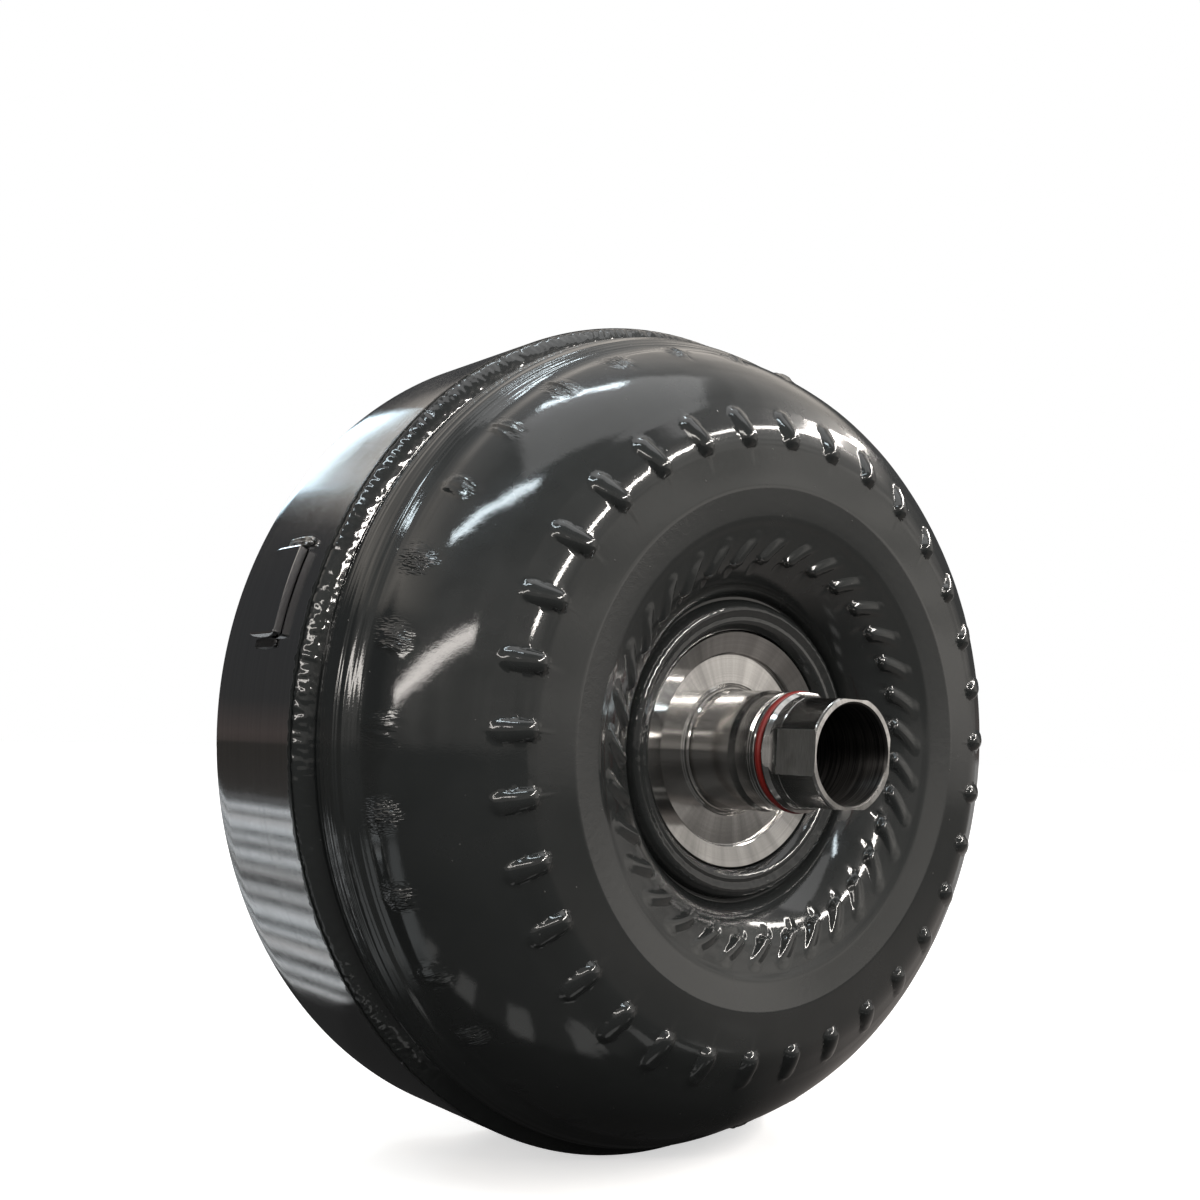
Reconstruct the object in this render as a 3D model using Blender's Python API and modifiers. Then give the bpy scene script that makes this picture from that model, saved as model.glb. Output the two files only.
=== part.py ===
"""A torque converter with a lock-up clutch, built as an assembly of separate pieces.

The shaft axis lies along Y. The crank pilot's end face is at y = 0, and the impeller hub points towards -Y.
A station is a distance in millimetres from that face towards the hub. A turned profile is a list of
(radius, station) pairs in millimetres, and an angle is measured from -X towards +Z.
"""

import math

import bmesh
import bpy
from mathutils import Matrix, Vector

MM = 0.001

# Driving dimensions, in millimetres
COVER_R = 155.0  # outside of the front cover, the largest radius
OVERALL_LENGTH = 166.7  # crank pilot's end to hub's end
WALL = 4.0  # impeller shell
GAP = 0.3  # left between pieces that touch
BORE_R = 16.85  # impeller hub
IMPELLER_BLADES = 33
TURBINE_BLADES = 29
STATOR_BLADES = 13

# Facets round a full turn
LARGE_STEPS = 48
MEDIUM_STEPS = 32
SMALL_STEPS = 20

# Front cover and what is fixed to it
PILOT_R = COVER_R * 0.145
SPIGOT_R = PILOT_R - 7.5
COVER_FACE = 14.0
PLATE_THICKNESS = 6.5
PLATE_BACK = COVER_FACE + PLATE_THICKNESS
SKIRT_END = 72.7
SKIRT_R = COVER_R - 6.6
BOSS_COUNT = 6
BOSS_R = 14.0
BOSS_HEIGHT = 6.0
BOSS_CIRCLE_R = 138.0
BOLT_MINOR_R = 4.25  # M10 x 1.5
SNAP_GROOVE_DEPTH = 1.8
SNAP_GROOVE_WIDTH = 2.3
WEIGHT_ARC = (12.0, 24.3)
WEIGHT_STATIONS = (39.2, 57.8)
WEIGHT_THICKNESS = 3.6

# Impeller shell: a rolled rim, a crest, and a bowl down to the hub
RIM_R = COVER_R - 7.15
RIM_DEPTH = 76.6
CREST_R = 91.8
CREST = 136.0
BOWL_WIDTH = 37.3
BOWL = 112.5
RIM_POWERS = (1.128, 0.697)
BOWL_POWER = 1.3
WELD_CROWN_R = 49.8  # of the weld between the bowl and the hub

# Impeller hub
FLANGE_R = 42.5
STEP_R = 34.4
JOURNAL_R = 21.2
JOURNAL_END = 129.7
LAND_START = 132.1
LAND_R = 20.5
NOSE_R = 19.6
FLANGE_BACK = 103.3
STEP_FACE = 108.5
SEAL_GROOVE = (141.0, 144.5)
SEAL_GROOVE_DEPTH = 2.3
SEAL_CORD_R = 1.25
FLAT_DISTANCE = 18.1
FLAT_START = 147.0
FLAT_ANGLE = 1.4
FLAT_COUNT = 4

# Fluid circuit
TORUS_R = 101.0
IMPELLER_EDGE = 88.0
TURBINE_EDGE = 84.8
TURBINE_SIZE = (41.0, 38.0)  # radial and axial half sizes
TURBINE_WALL = 2.0
SHELL_SWEEP = (151.2, 153.0)  # degrees of the turbine shell's outer and inner skin
CORE_R = 20.0
CORE_ANGLES = (15.0, 65.0, 115.0, 165.0)
CORE_THICKNESS = 4.0
BLADE_THICKNESS = 1.2

# Stator and its one-way clutch
STATOR_BORE_R = 45.0
STATOR_HUB_R = 57.0
SHROUD_R = 77.0
SHROUD_STATIONS = (78.5, 94.0)
CAP_FRONT = 74.4
CAP_THICKNESS = 2.7
CLUTCH_FRONT = CAP_FRONT + CAP_THICKNESS + GAP
CLUTCH_LENGTH = 19.0
CLUTCH_BACK = CLUTCH_FRONT + CLUTCH_LENGTH
RACE_R = 28.0
ROLLER_R = 3.7
ROLLER_COUNT = 8
ROLLER_CIRCLE_R = RACE_R + ROLLER_R + GAP
ROLLER_PITCH = 360.0 / ROLLER_COUNT

# Lock-up clutch
PISTON_FRONT = PLATE_BACK + 1.1
PISTON_TRAVEL = 1.8
GUIDE_R = 34.0
GUIDE_BORE_R = 25.0
PACK_FRONT = PISTON_FRONT + 6.4
PACK_GAP = 0.6
FRICTION_THICKNESS = 3.0
STEEL_THICKNESS = 3.2
LUG_COUNT = 12
PLATE_R = 142.0
DRUM_END = 44.5
CLUTCH_HUB_R = 105.0

# Damper
SPRING_COUNT = 6
SPRING_CIRCLE_R = 68.0
SPRING_CENTRE = 41.0
SPRING_R = 7.5
SPRING_WIRE_R = 1.5
SPRING_LENGTH = 32.0
SPRING_TURNS = 3.5
WINDOW = (SPRING_LENGTH / 2 + 0.8, SPRING_R + 0.4)
DRIVE_PLATE = (36.6, 38.4)
DRIVEN_PLATE = (40.2, 42.0)
RETAINER_PLATE = (43.7, 45.3)
DRIVEN_PLATE_R = 86.0
SIDE_PLATE_BORE_R = 50.0

# Turbine hub
TURBINE_NOSE_R = 23.4
TURBINE_BOSS_R = 36.0
TURBINE_BOSS_FACE = 34.8
TURBINE_FLANGE = (60.0, 66.2)
TURBINE_FLANGE_R = 54.0
TURBINE_STEP_R = 37.6
TURBINE_HUB_BACK = 70.5
SPLINE_R = (10.9, 12.1)

FULL_TURN = 2 * math.pi

BARE_STEEL = ("bare_steel", (0.52, 0.52, 0.53), 0.25, 1.0)
DARK_PAINT = ("dark_gloss_paint", (0.05, 0.053, 0.052), 0.12, 0.0)
GROUND_STEEL = ("ground_steel", (0.6, 0.6, 0.6), 0.2, 1.0)
SHEET_STEEL = ("sheet_steel", (0.35, 0.35, 0.36), 0.4, 1.0)
SPRING_STEEL = ("spring_steel", (0.22, 0.23, 0.26), 0.35, 1.0)
CAST_ALUMINIUM = ("cast_aluminium", (0.66, 0.67, 0.68), 0.45, 1.0)
FRICTION_PAPER = ("friction_paper", (0.22, 0.13, 0.07), 0.85, 0.0)
RED_RUBBER = ("red_rubber", (0.3, 0.02, 0.012), 0.4, 0.0)
BLACK_RUBBER = ("black_rubber", (0.02, 0.02, 0.02), 0.5, 0.0)


def clear_scene():
    for obj in list(bpy.data.objects):
        bpy.data.objects.remove(obj, do_unlink=True)


def new_collection(name):
    collection = bpy.data.collections.new(name)
    bpy.context.scene.collection.children.link(collection)
    return collection


def material(kind):
    name, color, roughness, metallic = kind
    found = bpy.data.materials.get(name)
    if found:
        return found
    made = bpy.data.materials.new(name)
    made.use_nodes = True
    shader = made.node_tree.nodes["Principled BSDF"]
    shader.inputs["Base Color"].default_value = (*color, 1.0)
    shader.inputs["Roughness"].default_value = roughness
    shader.inputs["Metallic"].default_value = metallic
    return made


def keep(name, data, kind, location=(0, 0, 0), rotation=(0, 0, 0)):
    """A visible part. A kind of None makes a hidden cutter or tool instead."""
    obj = bpy.data.objects.new(name, data)
    obj.location = location
    obj.rotation_euler = rotation
    if kind is None:
        TOOLS.objects.link(obj)
        obj.hide_render = True
        obj.display_type = "WIRE"
    else:
        PARTS.objects.link(obj)
        data.materials.append(material(kind))
    return obj


def polar(radius, degrees, station=0.0):
    """A point in metres at this radius, angle and station."""
    angle = math.radians(degrees)
    return (-radius * math.cos(angle) * MM, -station * MM, radius * math.sin(angle) * MM)


def signed_area(points):
    pairs = zip(points, points[1:] + points[:1])
    return sum(a[0] * b[1] - b[0] * a[1] for a, b in pairs) / 2


def turned(name, profile, kind, steps=SMALL_STEPS):
    """A closed profile turned round the axis."""
    if signed_area(profile) < 0:
        profile = profile[::-1]
    mesh = bpy.data.meshes.new(name)
    count = len(profile)
    closed = all(radius > 0 for radius, _ in profile)
    edges = [(i, (i + 1) % count) for i in range(count)]
    if not closed:
        edges = [(i, j) for i, j in edges if profile[i][0] > 0 or profile[j][0] > 0]
    mesh.from_pydata([(r * MM, -s * MM, 0) for r, s in profile], edges, [])
    obj = keep(name, mesh, kind)
    screw = obj.modifiers.new("turn", "SCREW")
    screw.axis = "Y"
    screw.steps = steps
    screw.render_steps = steps
    screw.use_merge_vertices = True
    screw.merge_threshold = 0.00001
    return obj


def ring(name, radii, stations, kind, steps=SMALL_STEPS):
    (inner, outer), (front, back) = radii, stations
    return turned(name, [(inner, front), (outer, front), (outer, back), (inner, back)], kind, steps)


def circle(radius, count):
    return [(radius, 360.0 * i / count) for i in range(count)]


def toothed(low, high, count, share=0.5):
    """A toothed outline: each tooth takes this share of the pitch at the high radius."""
    pitch = 360.0 / count
    half = pitch * share / 2
    outline = []
    for i in range(count):
        middle = i * pitch
        outline += [(low, middle - half), (high, middle - half), (high, middle + half), (low, middle + half)]
    return outline


def open_ring(inner, outer, gap_degrees, count):
    """The outline of a split ring, its gap at the bottom."""
    start = -90.0 + gap_degrees / 2
    sweep = 360.0 - gap_degrees
    angles = [start + sweep * i / count for i in range(count + 1)]
    return [(outer, a) for a in angles] + [(inner, a) for a in reversed(angles)]


def window(middle_radius, degrees, half_length, half_height):
    """A straight window whose long side lies along the tangent."""
    corners = []
    for along, up in ((-1, -1), (1, -1), (1, 1), (-1, 1)):
        x, y = middle_radius + up * half_height, along * half_length
        corners.append((math.hypot(x, y), degrees + math.degrees(math.atan2(y, x))))
    return corners


def plate(name, outlines, stations, kind):
    """Flat outlines of (radius, angle) points, extruded between two stations."""
    front, back = stations
    curve = bpy.data.curves.new(name, "CURVE")
    curve.dimensions = "2D"
    curve.fill_mode = "BOTH"
    curve.extrude = (back - front) / 2 * MM
    for outline in outlines:
        spline = curve.splines.new("POLY")
        spline.points.add(len(outline) - 1)
        for point, (radius, degrees) in zip(spline.points, outline):
            x, _, z = polar(radius, degrees)
            point.co = (x, z, 0, 1)
        spline.use_cyclic_u = True
    return keep(name, curve, kind, (0, -(front + back) / 2 * MM, 0), (math.pi / 2, 0, 0))


def meshed(obj, kind):
    """The curve object as a mesh object that a Boolean can take."""
    name = obj.name
    graph = bpy.context.evaluated_depsgraph_get()
    mesh = bpy.data.meshes.new_from_object(obj.evaluated_get(graph))
    place = (obj.location.copy(), obj.rotation_euler.copy())
    bpy.data.objects.remove(obj)
    shape = bmesh.new()
    shape.from_mesh(mesh)
    bmesh.ops.remove_doubles(shape, verts=shape.verts, dist=0.000001)
    bmesh.ops.recalc_face_normals(shape, faces=shape.faces)
    shape.to_mesh(mesh)
    shape.free()
    mesh.materials.clear()
    return keep(name, mesh, kind, *place)


def cylinder(name, radius, depth, sides, places, kind=None):
    """Equal cylinders in one object. A place is a pair of a centre in metres and a rotation matrix."""
    shape = bmesh.new()
    for centre, matrix in places:
        made = bmesh.ops.create_cone(
            shape, cap_ends=True, segments=sides, radius1=radius * MM, radius2=radius * MM, depth=depth * MM
        )
        bmesh.ops.transform(shape, matrix=matrix, verts=made["verts"])
        bmesh.ops.translate(shape, vec=centre, verts=made["verts"])
    mesh = bpy.data.meshes.new(name)
    shape.to_mesh(mesh)
    shape.free()
    return keep(name, mesh, kind)


def along_axis(places, station):
    """Centres at (radius, angle) places and one station, for cylinders that lie along Y."""
    turn = Matrix.Rotation(math.pi / 2, 4, "X")
    return [(Vector(polar(radius, degrees, station)), turn) for radius, degrees in places]


def combine(obj, tool, operation):
    boolean = obj.modifiers.new(operation.lower(), "BOOLEAN")
    boolean.operation = operation
    boolean.solver = "EXACT"
    boolean.object = tool


def spaced(count, start=0.0):
    return [start + 360.0 * i / count for i in range(count)]


def front_cover():
    profile = [
        (SPIGOT_R + GAP, COVER_FACE),
        (COVER_R - 2.2, COVER_FACE),
        (COVER_R - 0.9, COVER_FACE + 1.3),
        (COVER_R, COVER_FACE + 3.0),
        (COVER_R, SKIRT_END),
        (SKIRT_R, SKIRT_END),
        (SKIRT_R, DRUM_END + GAP + SNAP_GROOVE_WIDTH),
        (SKIRT_R + SNAP_GROOVE_DEPTH, DRUM_END + GAP + SNAP_GROOVE_WIDTH),
        (SKIRT_R + SNAP_GROOVE_DEPTH, DRUM_END + GAP),
        (SKIRT_R, DRUM_END + GAP),
        (SKIRT_R, PLATE_BACK),
        (SPIGOT_R + GAP, PLATE_BACK),
    ]
    cover = turned("front_cover", profile, BARE_STEEL, LARGE_STEPS)
    places = [(BOSS_CIRCLE_R, angle) for angle in spaced(BOSS_COUNT)]
    boss_depth = BOSS_HEIGHT + 2.0
    bosses = cylinder("bosses", BOSS_R, boss_depth, 16,
                      along_axis(places, COVER_FACE - BOSS_HEIGHT + boss_depth / 2))
    hole_depth = 12.0
    holes = cylinder("boss_holes", BOLT_MINOR_R, hole_depth, 8,
                     along_axis(places, COVER_FACE - BOSS_HEIGHT - 1.0 + hole_depth / 2))
    combine(cover, bosses, "UNION")
    combine(cover, holes, "DIFFERENCE")


def crank_pilot():
    shoulder = COVER_FACE - GAP
    profile = [
        (0, 0),
        (PILOT_R - 1.5, 0),
        (PILOT_R, 1.5),
        (PILOT_R, shoulder),
        (SPIGOT_R, shoulder),
        (SPIGOT_R, PLATE_BACK - GAP),
        (0, PLATE_BACK - GAP),
    ]
    turned("crank_pilot", profile, BARE_STEEL)


def closing_weld():
    front = SKIRT_END + GAP
    inner = RIM_R + GAP
    profile = [
        (inner, front),
        (COVER_R - 0.6, front),
        (COVER_R - 1.6, front + 5.5),
        (inner + 2.0, front + 9.0),
        (inner, front + 9.4),
    ]
    turned("closing_weld", profile, DARK_PAINT, LARGE_STEPS)


def balance_weight():
    """A strip bent to the cover's curve."""
    inner = COVER_R + GAP
    outer = inner + WEIGHT_THICKNESS
    first, last = WEIGHT_ARC
    count = 4
    angles = [first + (last - first) * i / count for i in range(count + 1)]
    outline = [(outer, a) for a in angles] + [(inner, a) for a in reversed(angles)]
    plate("balance_weight", [outline], WEIGHT_STATIONS, BARE_STEEL)


def shell_point(way):
    """The outer skin as (radius, station): way is -1 at the rim, 0 at the crest and 1 in the bowl."""
    angle = abs(way) * math.pi / 2
    if way < 0:
        out, back = RIM_POWERS
        radius = CREST_R + (RIM_R - CREST_R) * math.sin(angle) ** out
        return radius, CREST - RIM_DEPTH * (1 - max(math.cos(angle), 0) ** back)
    radius = CREST_R - BOWL_WIDTH * math.sin(angle)
    return radius, BOWL + (CREST - BOWL) * max(math.cos(angle), 0) ** BOWL_POWER


def under_shell(way, depth):
    """The point this deep under the outer skin."""
    step = 0.005
    before, after = shell_point(max(way - step, -1)), shell_point(min(way + step, 1))
    across, along = after[0] - before[0], after[1] - before[1]
    length = math.hypot(across, along)
    radius, station = shell_point(way)
    return radius - along / length * depth, station + across / length * depth


def spread(first, last, count):
    return [first + (last - first) * i / count for i in range(count + 1)]


def impeller_shell():
    lip_r = FLANGE_R + 0.4
    rim_station = CREST - RIM_DEPTH
    outer = [(RIM_R, rim_station)] + [shell_point(way) for way in spread(-0.85, 1, 9)]
    inner = [(RIM_R - WALL, rim_station)] + [under_shell(way, WALL) for way in spread(-0.85, 0.85, 5)]
    wall_foot = CREST_R - BOWL_WIDTH + WALL
    lip = [(lip_r, BOWL), (lip_r, BOWL - WALL), (wall_foot, BOWL - WALL)]
    turned("impeller_shell", outer + lip + inner[::-1], DARK_PAINT, LARGE_STEPS)


def hub_weld_ring():
    foot = BOWL + GAP
    profile = [
        (FLANGE_R + 0.5, foot),
        (CREST_R - BOWL_WIDTH - 0.9, foot),
        (WELD_CROWN_R + 2.8, foot + 2.4),
        (WELD_CROWN_R, foot + 4.2),
        (WELD_CROWN_R - 3.8, foot + 3.2),
        (FLANGE_R + 0.8, foot + 0.8),
    ]
    turned("hub_weld_ring", profile, DARK_PAINT, MEDIUM_STEPS)


def impeller_hub():
    groove_front, groove_back = SEAL_GROOVE
    groove_r = LAND_R - SEAL_GROOVE_DEPTH
    profile = [
        (BORE_R, FLANGE_BACK),
        (FLANGE_R, FLANGE_BACK),
        (FLANGE_R, BOWL),
        (STEP_R, STEP_FACE + 0.8),
        (STEP_R, STEP_FACE),
        (JOURNAL_R + 1.4, STEP_FACE),
        (JOURNAL_R, STEP_FACE + 1.6),
        (JOURNAL_R, JOURNAL_END),
        (LAND_R, LAND_START),
        (LAND_R, groove_front),
        (groove_r, groove_front),
        (groove_r, groove_back),
        (LAND_R, groove_back),
        (NOSE_R, groove_back + 1.6),
        (NOSE_R, OVERALL_LENGTH - 0.7),
        (NOSE_R - 0.7, OVERALL_LENGTH),
        (BORE_R, OVERALL_LENGTH),
    ]
    hub = turned("impeller_hub", profile, GROUND_STEEL, MEDIUM_STEPS)
    cutter_depth = 6.0
    cutter_length = OVERALL_LENGTH - FLAT_START + 2.0
    shape = bmesh.new()
    for angle in spaced(FLAT_COUNT, FLAT_ANGLE):
        made = bmesh.ops.create_cube(shape, size=1.0)
        size = Matrix.Diagonal((cutter_depth * MM, cutter_length * MM, 24.0 * MM, 1.0))
        centre = Vector(polar(FLAT_DISTANCE + cutter_depth / 2, angle, FLAT_START + cutter_length / 2))
        place = Matrix.Translation(centre) @ Matrix.Rotation(math.radians(angle), 4, "Y") @ size
        bmesh.ops.transform(shape, matrix=place, verts=made["verts"])
    mesh = bpy.data.meshes.new("drive_flats")
    shape.to_mesh(mesh)
    shape.free()
    combine(hub, keep("drive_flats", mesh, None), "DIFFERENCE")


def hub_o_ring():
    middle = sum(SEAL_GROOVE) / 2
    radius = LAND_R - SEAL_GROOVE_DEPTH + GAP + SEAL_CORD_R
    sides = 5
    profile = []
    for i in range(sides):
        angle = FULL_TURN * i / sides
        profile.append((radius + SEAL_CORD_R * math.cos(angle), middle + SEAL_CORD_R * math.sin(angle)))
    turned("hub_o_ring", profile, RED_RUBBER)


def blade_row(name, count, outer_edge, core_edge, lean):
    """Blades between two edges, as one tool. An edge is a list of (radius, station) points, rim to hub."""
    shape = bmesh.new()
    columns = len(outer_edge)
    for start in spaced(count):
        made = bmesh.ops.create_grid(shape, x_segments=columns - 1, y_segments=1, size=1.0)
        for vert in made["verts"]:
            column = round((vert.co.x + 1) / 2 * (columns - 1))
            radius, station = (outer_edge if vert.co.y < 0 else core_edge)[column]
            vert.co = polar(radius, start + lean(radius), station)
    mesh = bpy.data.meshes.new(name)
    shape.to_mesh(mesh)
    shape.free()
    tool = keep(name, mesh, None)
    solidify = tool.modifiers.new("thickness", "SOLIDIFY")
    solidify.thickness = BLADE_THICKNESS * MM
    solidify.offset = 0.0
    return tool


def core_point(degrees, radius, middle, side):
    angle = math.radians(degrees)
    return TORUS_R + radius * math.cos(angle), middle + side * radius * math.sin(angle)


def core_band(name, middle, side, steps, kind):
    """The half ring that the blades' inner edges are brazed to."""
    outer = [core_point(a, CORE_R, middle, side) for a in CORE_ANGLES]
    inner = [core_point(a, CORE_R - CORE_THICKNESS, middle, side) for a in (CORE_ANGLES[0], CORE_ANGLES[-1])]
    return turned(name, outer + inner[::-1], kind, steps)


def impeller_blades():
    ways = (-0.83, -0.3, 0.35, 0.82)
    outer = [under_shell(way, WALL + 2.4) for way in ways]
    outer[0] = (outer[0][0], IMPELLER_EDGE)
    core = [core_point(a, CORE_R - 1.2, IMPELLER_EDGE, 1) for a in CORE_ANGLES]
    hook = 7.5

    def lean(radius):
        return 3.2 - hook * max(0.0, min(1.0, (74.0 - radius) / 12.0))

    blades = blade_row("impeller_blade_sheets", IMPELLER_BLADES, outer, core, lean)
    band = core_band("impeller_blades", IMPELLER_EDGE, 1, IMPELLER_BLADES, SHEET_STEEL)
    combine(band, blades, "UNION")


def piston_guide_hub():
    groove = (PLATE_BACK + 4.0, PLATE_BACK + 6.6)
    profile = [
        (GUIDE_BORE_R, PLATE_BACK + GAP),
        (GUIDE_R, PLATE_BACK + GAP),
        (GUIDE_R, groove[0]),
        (GUIDE_R - 2.4, groove[0]),
        (GUIDE_R - 2.4, groove[1]),
        (GUIDE_R, groove[1]),
        (GUIDE_R, PLATE_BACK + 10.5),
        (GUIDE_BORE_R, PLATE_BACK + 10.5),
    ]
    turned("piston_guide_hub", profile, GROUND_STEEL)
    seal = (groove[0] + GAP, groove[1] - GAP)
    ring("piston_inner_seal", (GUIDE_R - 2.0, GUIDE_R + 0.2), seal, BLACK_RUBBER)


def lockup_piston():
    rim_r = SKIRT_R - 1.6
    bore_r = GUIDE_R + 0.6
    groove = (PISTON_FRONT + 1.7, PISTON_FRONT + 4.1)
    web_back = PISTON_FRONT + 5.0
    profile = [
        (bore_r, PISTON_FRONT),
        (rim_r, PISTON_FRONT),
        (rim_r, groove[0]),
        (rim_r - 2.6, groove[0]),
        (rim_r - 2.6, groove[1]),
        (rim_r, groove[1]),
        (rim_r, web_back + 0.6),
        (PLATE_R - 3.5, PACK_FRONT),
        (CLUTCH_HUB_R + 2.5, PACK_FRONT),
        (CLUTCH_HUB_R + 1.0, web_back),
        (GUIDE_R + 4.0, web_back),
        (GUIDE_R + 4.0, PISTON_FRONT + 7.6),
        (bore_r, PISTON_FRONT + 7.6),
    ]
    turned("lockup_piston", profile, GROUND_STEEL, MEDIUM_STEPS)
    seal = (groove[0] + GAP, groove[1] - GAP)
    ring("piston_outer_seal", (rim_r - 2.2, rim_r + 0.8), seal, BLACK_RUBBER, MEDIUM_STEPS)


def clutch_drum():
    drum = [circle(SKIRT_R - GAP, LARGE_STEPS), toothed(PLATE_R + 0.7, PLATE_R + 4.2, LUG_COUNT, 0.46)]
    plate("clutch_drum", drum, (PISTON_FRONT + 8.7, DRUM_END), BARE_STEEL)


def clutch_pack():
    """Two friction discs and a steel plate between them, all free to slide, and the fixed backing plate."""
    lugs = toothed(PLATE_R, PLATE_R + 3.5, LUG_COUNT, 0.42)
    teeth = toothed(CLUTCH_HUB_R - 2.4, CLUTCH_HUB_R + 0.9, LUG_COUNT, 0.5)
    facing_r = PLATE_R - 2.2
    hole_r = CLUTCH_HUB_R + 3.0
    station = PACK_FRONT + PACK_GAP
    for name, thickness in (("friction_disc_1", FRICTION_THICKNESS), ("steel_plate", STEEL_THICKNESS),
                            ("friction_disc_2", FRICTION_THICKNESS)):
        ends = (station, station + thickness)
        if name == "steel_plate":
            plate(name, [lugs, circle(hole_r, SMALL_STEPS)], ends, SHEET_STEEL)
        else:
            plate(name, [circle(facing_r, MEDIUM_STEPS), teeth], ends, FRICTION_PAPER)
        station += thickness + PACK_GAP
    backing = [lugs, circle(hole_r, SMALL_STEPS)]
    plate("clutch_backing_plate", backing, (station, DRUM_END - GAP), BARE_STEEL)
    snap = open_ring(PLATE_R - 1.0, SKIRT_R + SNAP_GROOVE_DEPTH - 0.6, 14.0, SMALL_STEPS)
    plate("clutch_snap_ring", [snap], (DRUM_END + 2 * GAP, DRUM_END + SNAP_GROOVE_WIDTH), SPRING_STEEL)


def clutch_hub():
    """The splined ring that carries the friction discs."""
    outer = toothed(CLUTCH_HUB_R - 3.5, CLUTCH_HUB_R, LUG_COUNT, 0.42)
    outlines = [outer, circle(CLUTCH_HUB_R - 7.5, MEDIUM_STEPS)]
    plate("clutch_hub", outlines, (PISTON_FRONT + 7.6, RETAINER_PLATE[0] - GAP), SHEET_STEEL)


def damper_plates():
    windows = [window(SPRING_CIRCLE_R, angle, *WINDOW) for angle in spaced(SPRING_COUNT)]
    rim = circle(CLUTCH_HUB_R - 7.9, MEDIUM_STEPS)
    side_bore = circle(SIDE_PLATE_BORE_R, SMALL_STEPS)
    plate("damper_drive_plate", [rim, side_bore] + windows, DRIVE_PLATE, SHEET_STEEL)
    plate("damper_retainer_plate", [rim, side_bore] + windows, RETAINER_PLATE, SHEET_STEEL)
    driven = [circle(DRIVEN_PLATE_R, MEDIUM_STEPS), circle(TURBINE_BOSS_R + GAP + 0.2, SMALL_STEPS)]
    plate("damper_driven_plate", driven + windows, DRIVEN_PLATE, SHEET_STEEL)


def damper_springs():
    """Straight coils lying along the tangent, in the plates' windows."""
    coil_r = SPRING_R - SPRING_WIRE_R
    points_per_turn = 7
    count = round(SPRING_TURNS * points_per_turn)
    span = SPRING_LENGTH - 2 * SPRING_WIRE_R
    for number, angle in enumerate(spaced(SPRING_COUNT), 1):
        curve = bpy.data.curves.new(f"damper_spring_{number}", "CURVE")
        curve.dimensions = "3D"
        curve.bevel_depth = SPRING_WIRE_R * MM
        curve.bevel_resolution = 0
        curve.use_fill_caps = True
        spline = curve.splines.new("POLY")
        spline.points.add(count)
        for i, point in enumerate(spline.points):
            turn = FULL_TURN * i / points_per_turn
            along = (i / count - 0.5) * span
            point.co = (
                along * MM,
                coil_r * math.cos(turn) * MM,
                coil_r * math.sin(turn) * MM,
                1,
            )
        centre = polar(SPRING_CIRCLE_R, angle, SPRING_CENTRE)
        lie = (0, math.radians(angle) + math.pi / 2, 0)
        keep(f"damper_spring_{number}", curve, SPRING_STEEL, centre, lie)


def turbine_hub():
    flange_front, flange_back = TURBINE_FLANGE
    nose_front = PLATE_BACK + 2.0
    groove = (nose_front + 2.5, nose_front + 5.1)
    solid_r = SPLINE_R[0] - 2.0
    profile = [
        (solid_r, nose_front),
        (TURBINE_NOSE_R, nose_front),
        (TURBINE_NOSE_R, groove[0]),
        (TURBINE_NOSE_R - 2.0, groove[0]),
        (TURBINE_NOSE_R - 2.0, groove[1]),
        (TURBINE_NOSE_R, groove[1]),
        (TURBINE_NOSE_R, TURBINE_BOSS_FACE),
        (TURBINE_BOSS_R, TURBINE_BOSS_FACE),
        (TURBINE_BOSS_R, flange_front),
        (TURBINE_FLANGE_R, flange_front),
        (TURBINE_FLANGE_R, flange_back),
        (TURBINE_STEP_R, flange_back),
        (TURBINE_STEP_R, TURBINE_HUB_BACK),
        (solid_r, TURBINE_HUB_BACK),
    ]
    hub = turned("turbine_hub", profile, GROUND_STEEL)
    through = (nose_front - 2.0, TURBINE_HUB_BACK + 2.0)
    bore = plate("turbine_spline", [toothed(*SPLINE_R, 16)], through, None)
    combine(hub, meshed(bore, None), "DIFFERENCE")
    seal = (groove[0] + GAP, groove[1] - GAP)
    ring("turbine_hub_seal", (TURBINE_NOSE_R - 1.7, GUIDE_BORE_R - 0.5), seal, BLACK_RUBBER)


def turbine_point(degrees, inset):
    radial, axial = (size - inset for size in TURBINE_SIZE)
    angle = math.radians(degrees)
    return TORUS_R + radial * math.cos(angle), TURBINE_EDGE - axial * math.sin(angle)


def turbine_shell():
    front = TURBINE_FLANGE[1] + GAP
    back = front + TURBINE_WALL
    outer = [turbine_point(a, 0) for a in spread(0, SHELL_SWEEP[0], 7)]
    inner = [turbine_point(a, TURBINE_WALL) for a in spread(0, SHELL_SWEEP[1], 6)]
    flange = [(TURBINE_STEP_R + 0.4, front), (TURBINE_STEP_R + 0.4, back)]
    turned("turbine_shell", outer + flange + inner[::-1], SHEET_STEEL, MEDIUM_STEPS)


def turbine_blades():
    outer = [turbine_point(a, TURBINE_WALL + 1.5) for a in (0.0, 50.0, 105.0, 143.0)]
    core = [core_point(a, CORE_R - 1.2, TURBINE_EDGE, -1) for a in CORE_ANGLES]
    curl = 22.0

    def lean(radius):
        share = (radius - TORUS_R) / TURBINE_SIZE[0]
        return curl * (1 - share * share)

    blades = blade_row("turbine_blade_sheets", TURBINE_BLADES, outer, core, lean)
    band = core_band("turbine_blades", TURBINE_EDGE, -1, TURBINE_BLADES, SHEET_STEEL)
    combine(band, blades, "UNION")


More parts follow.
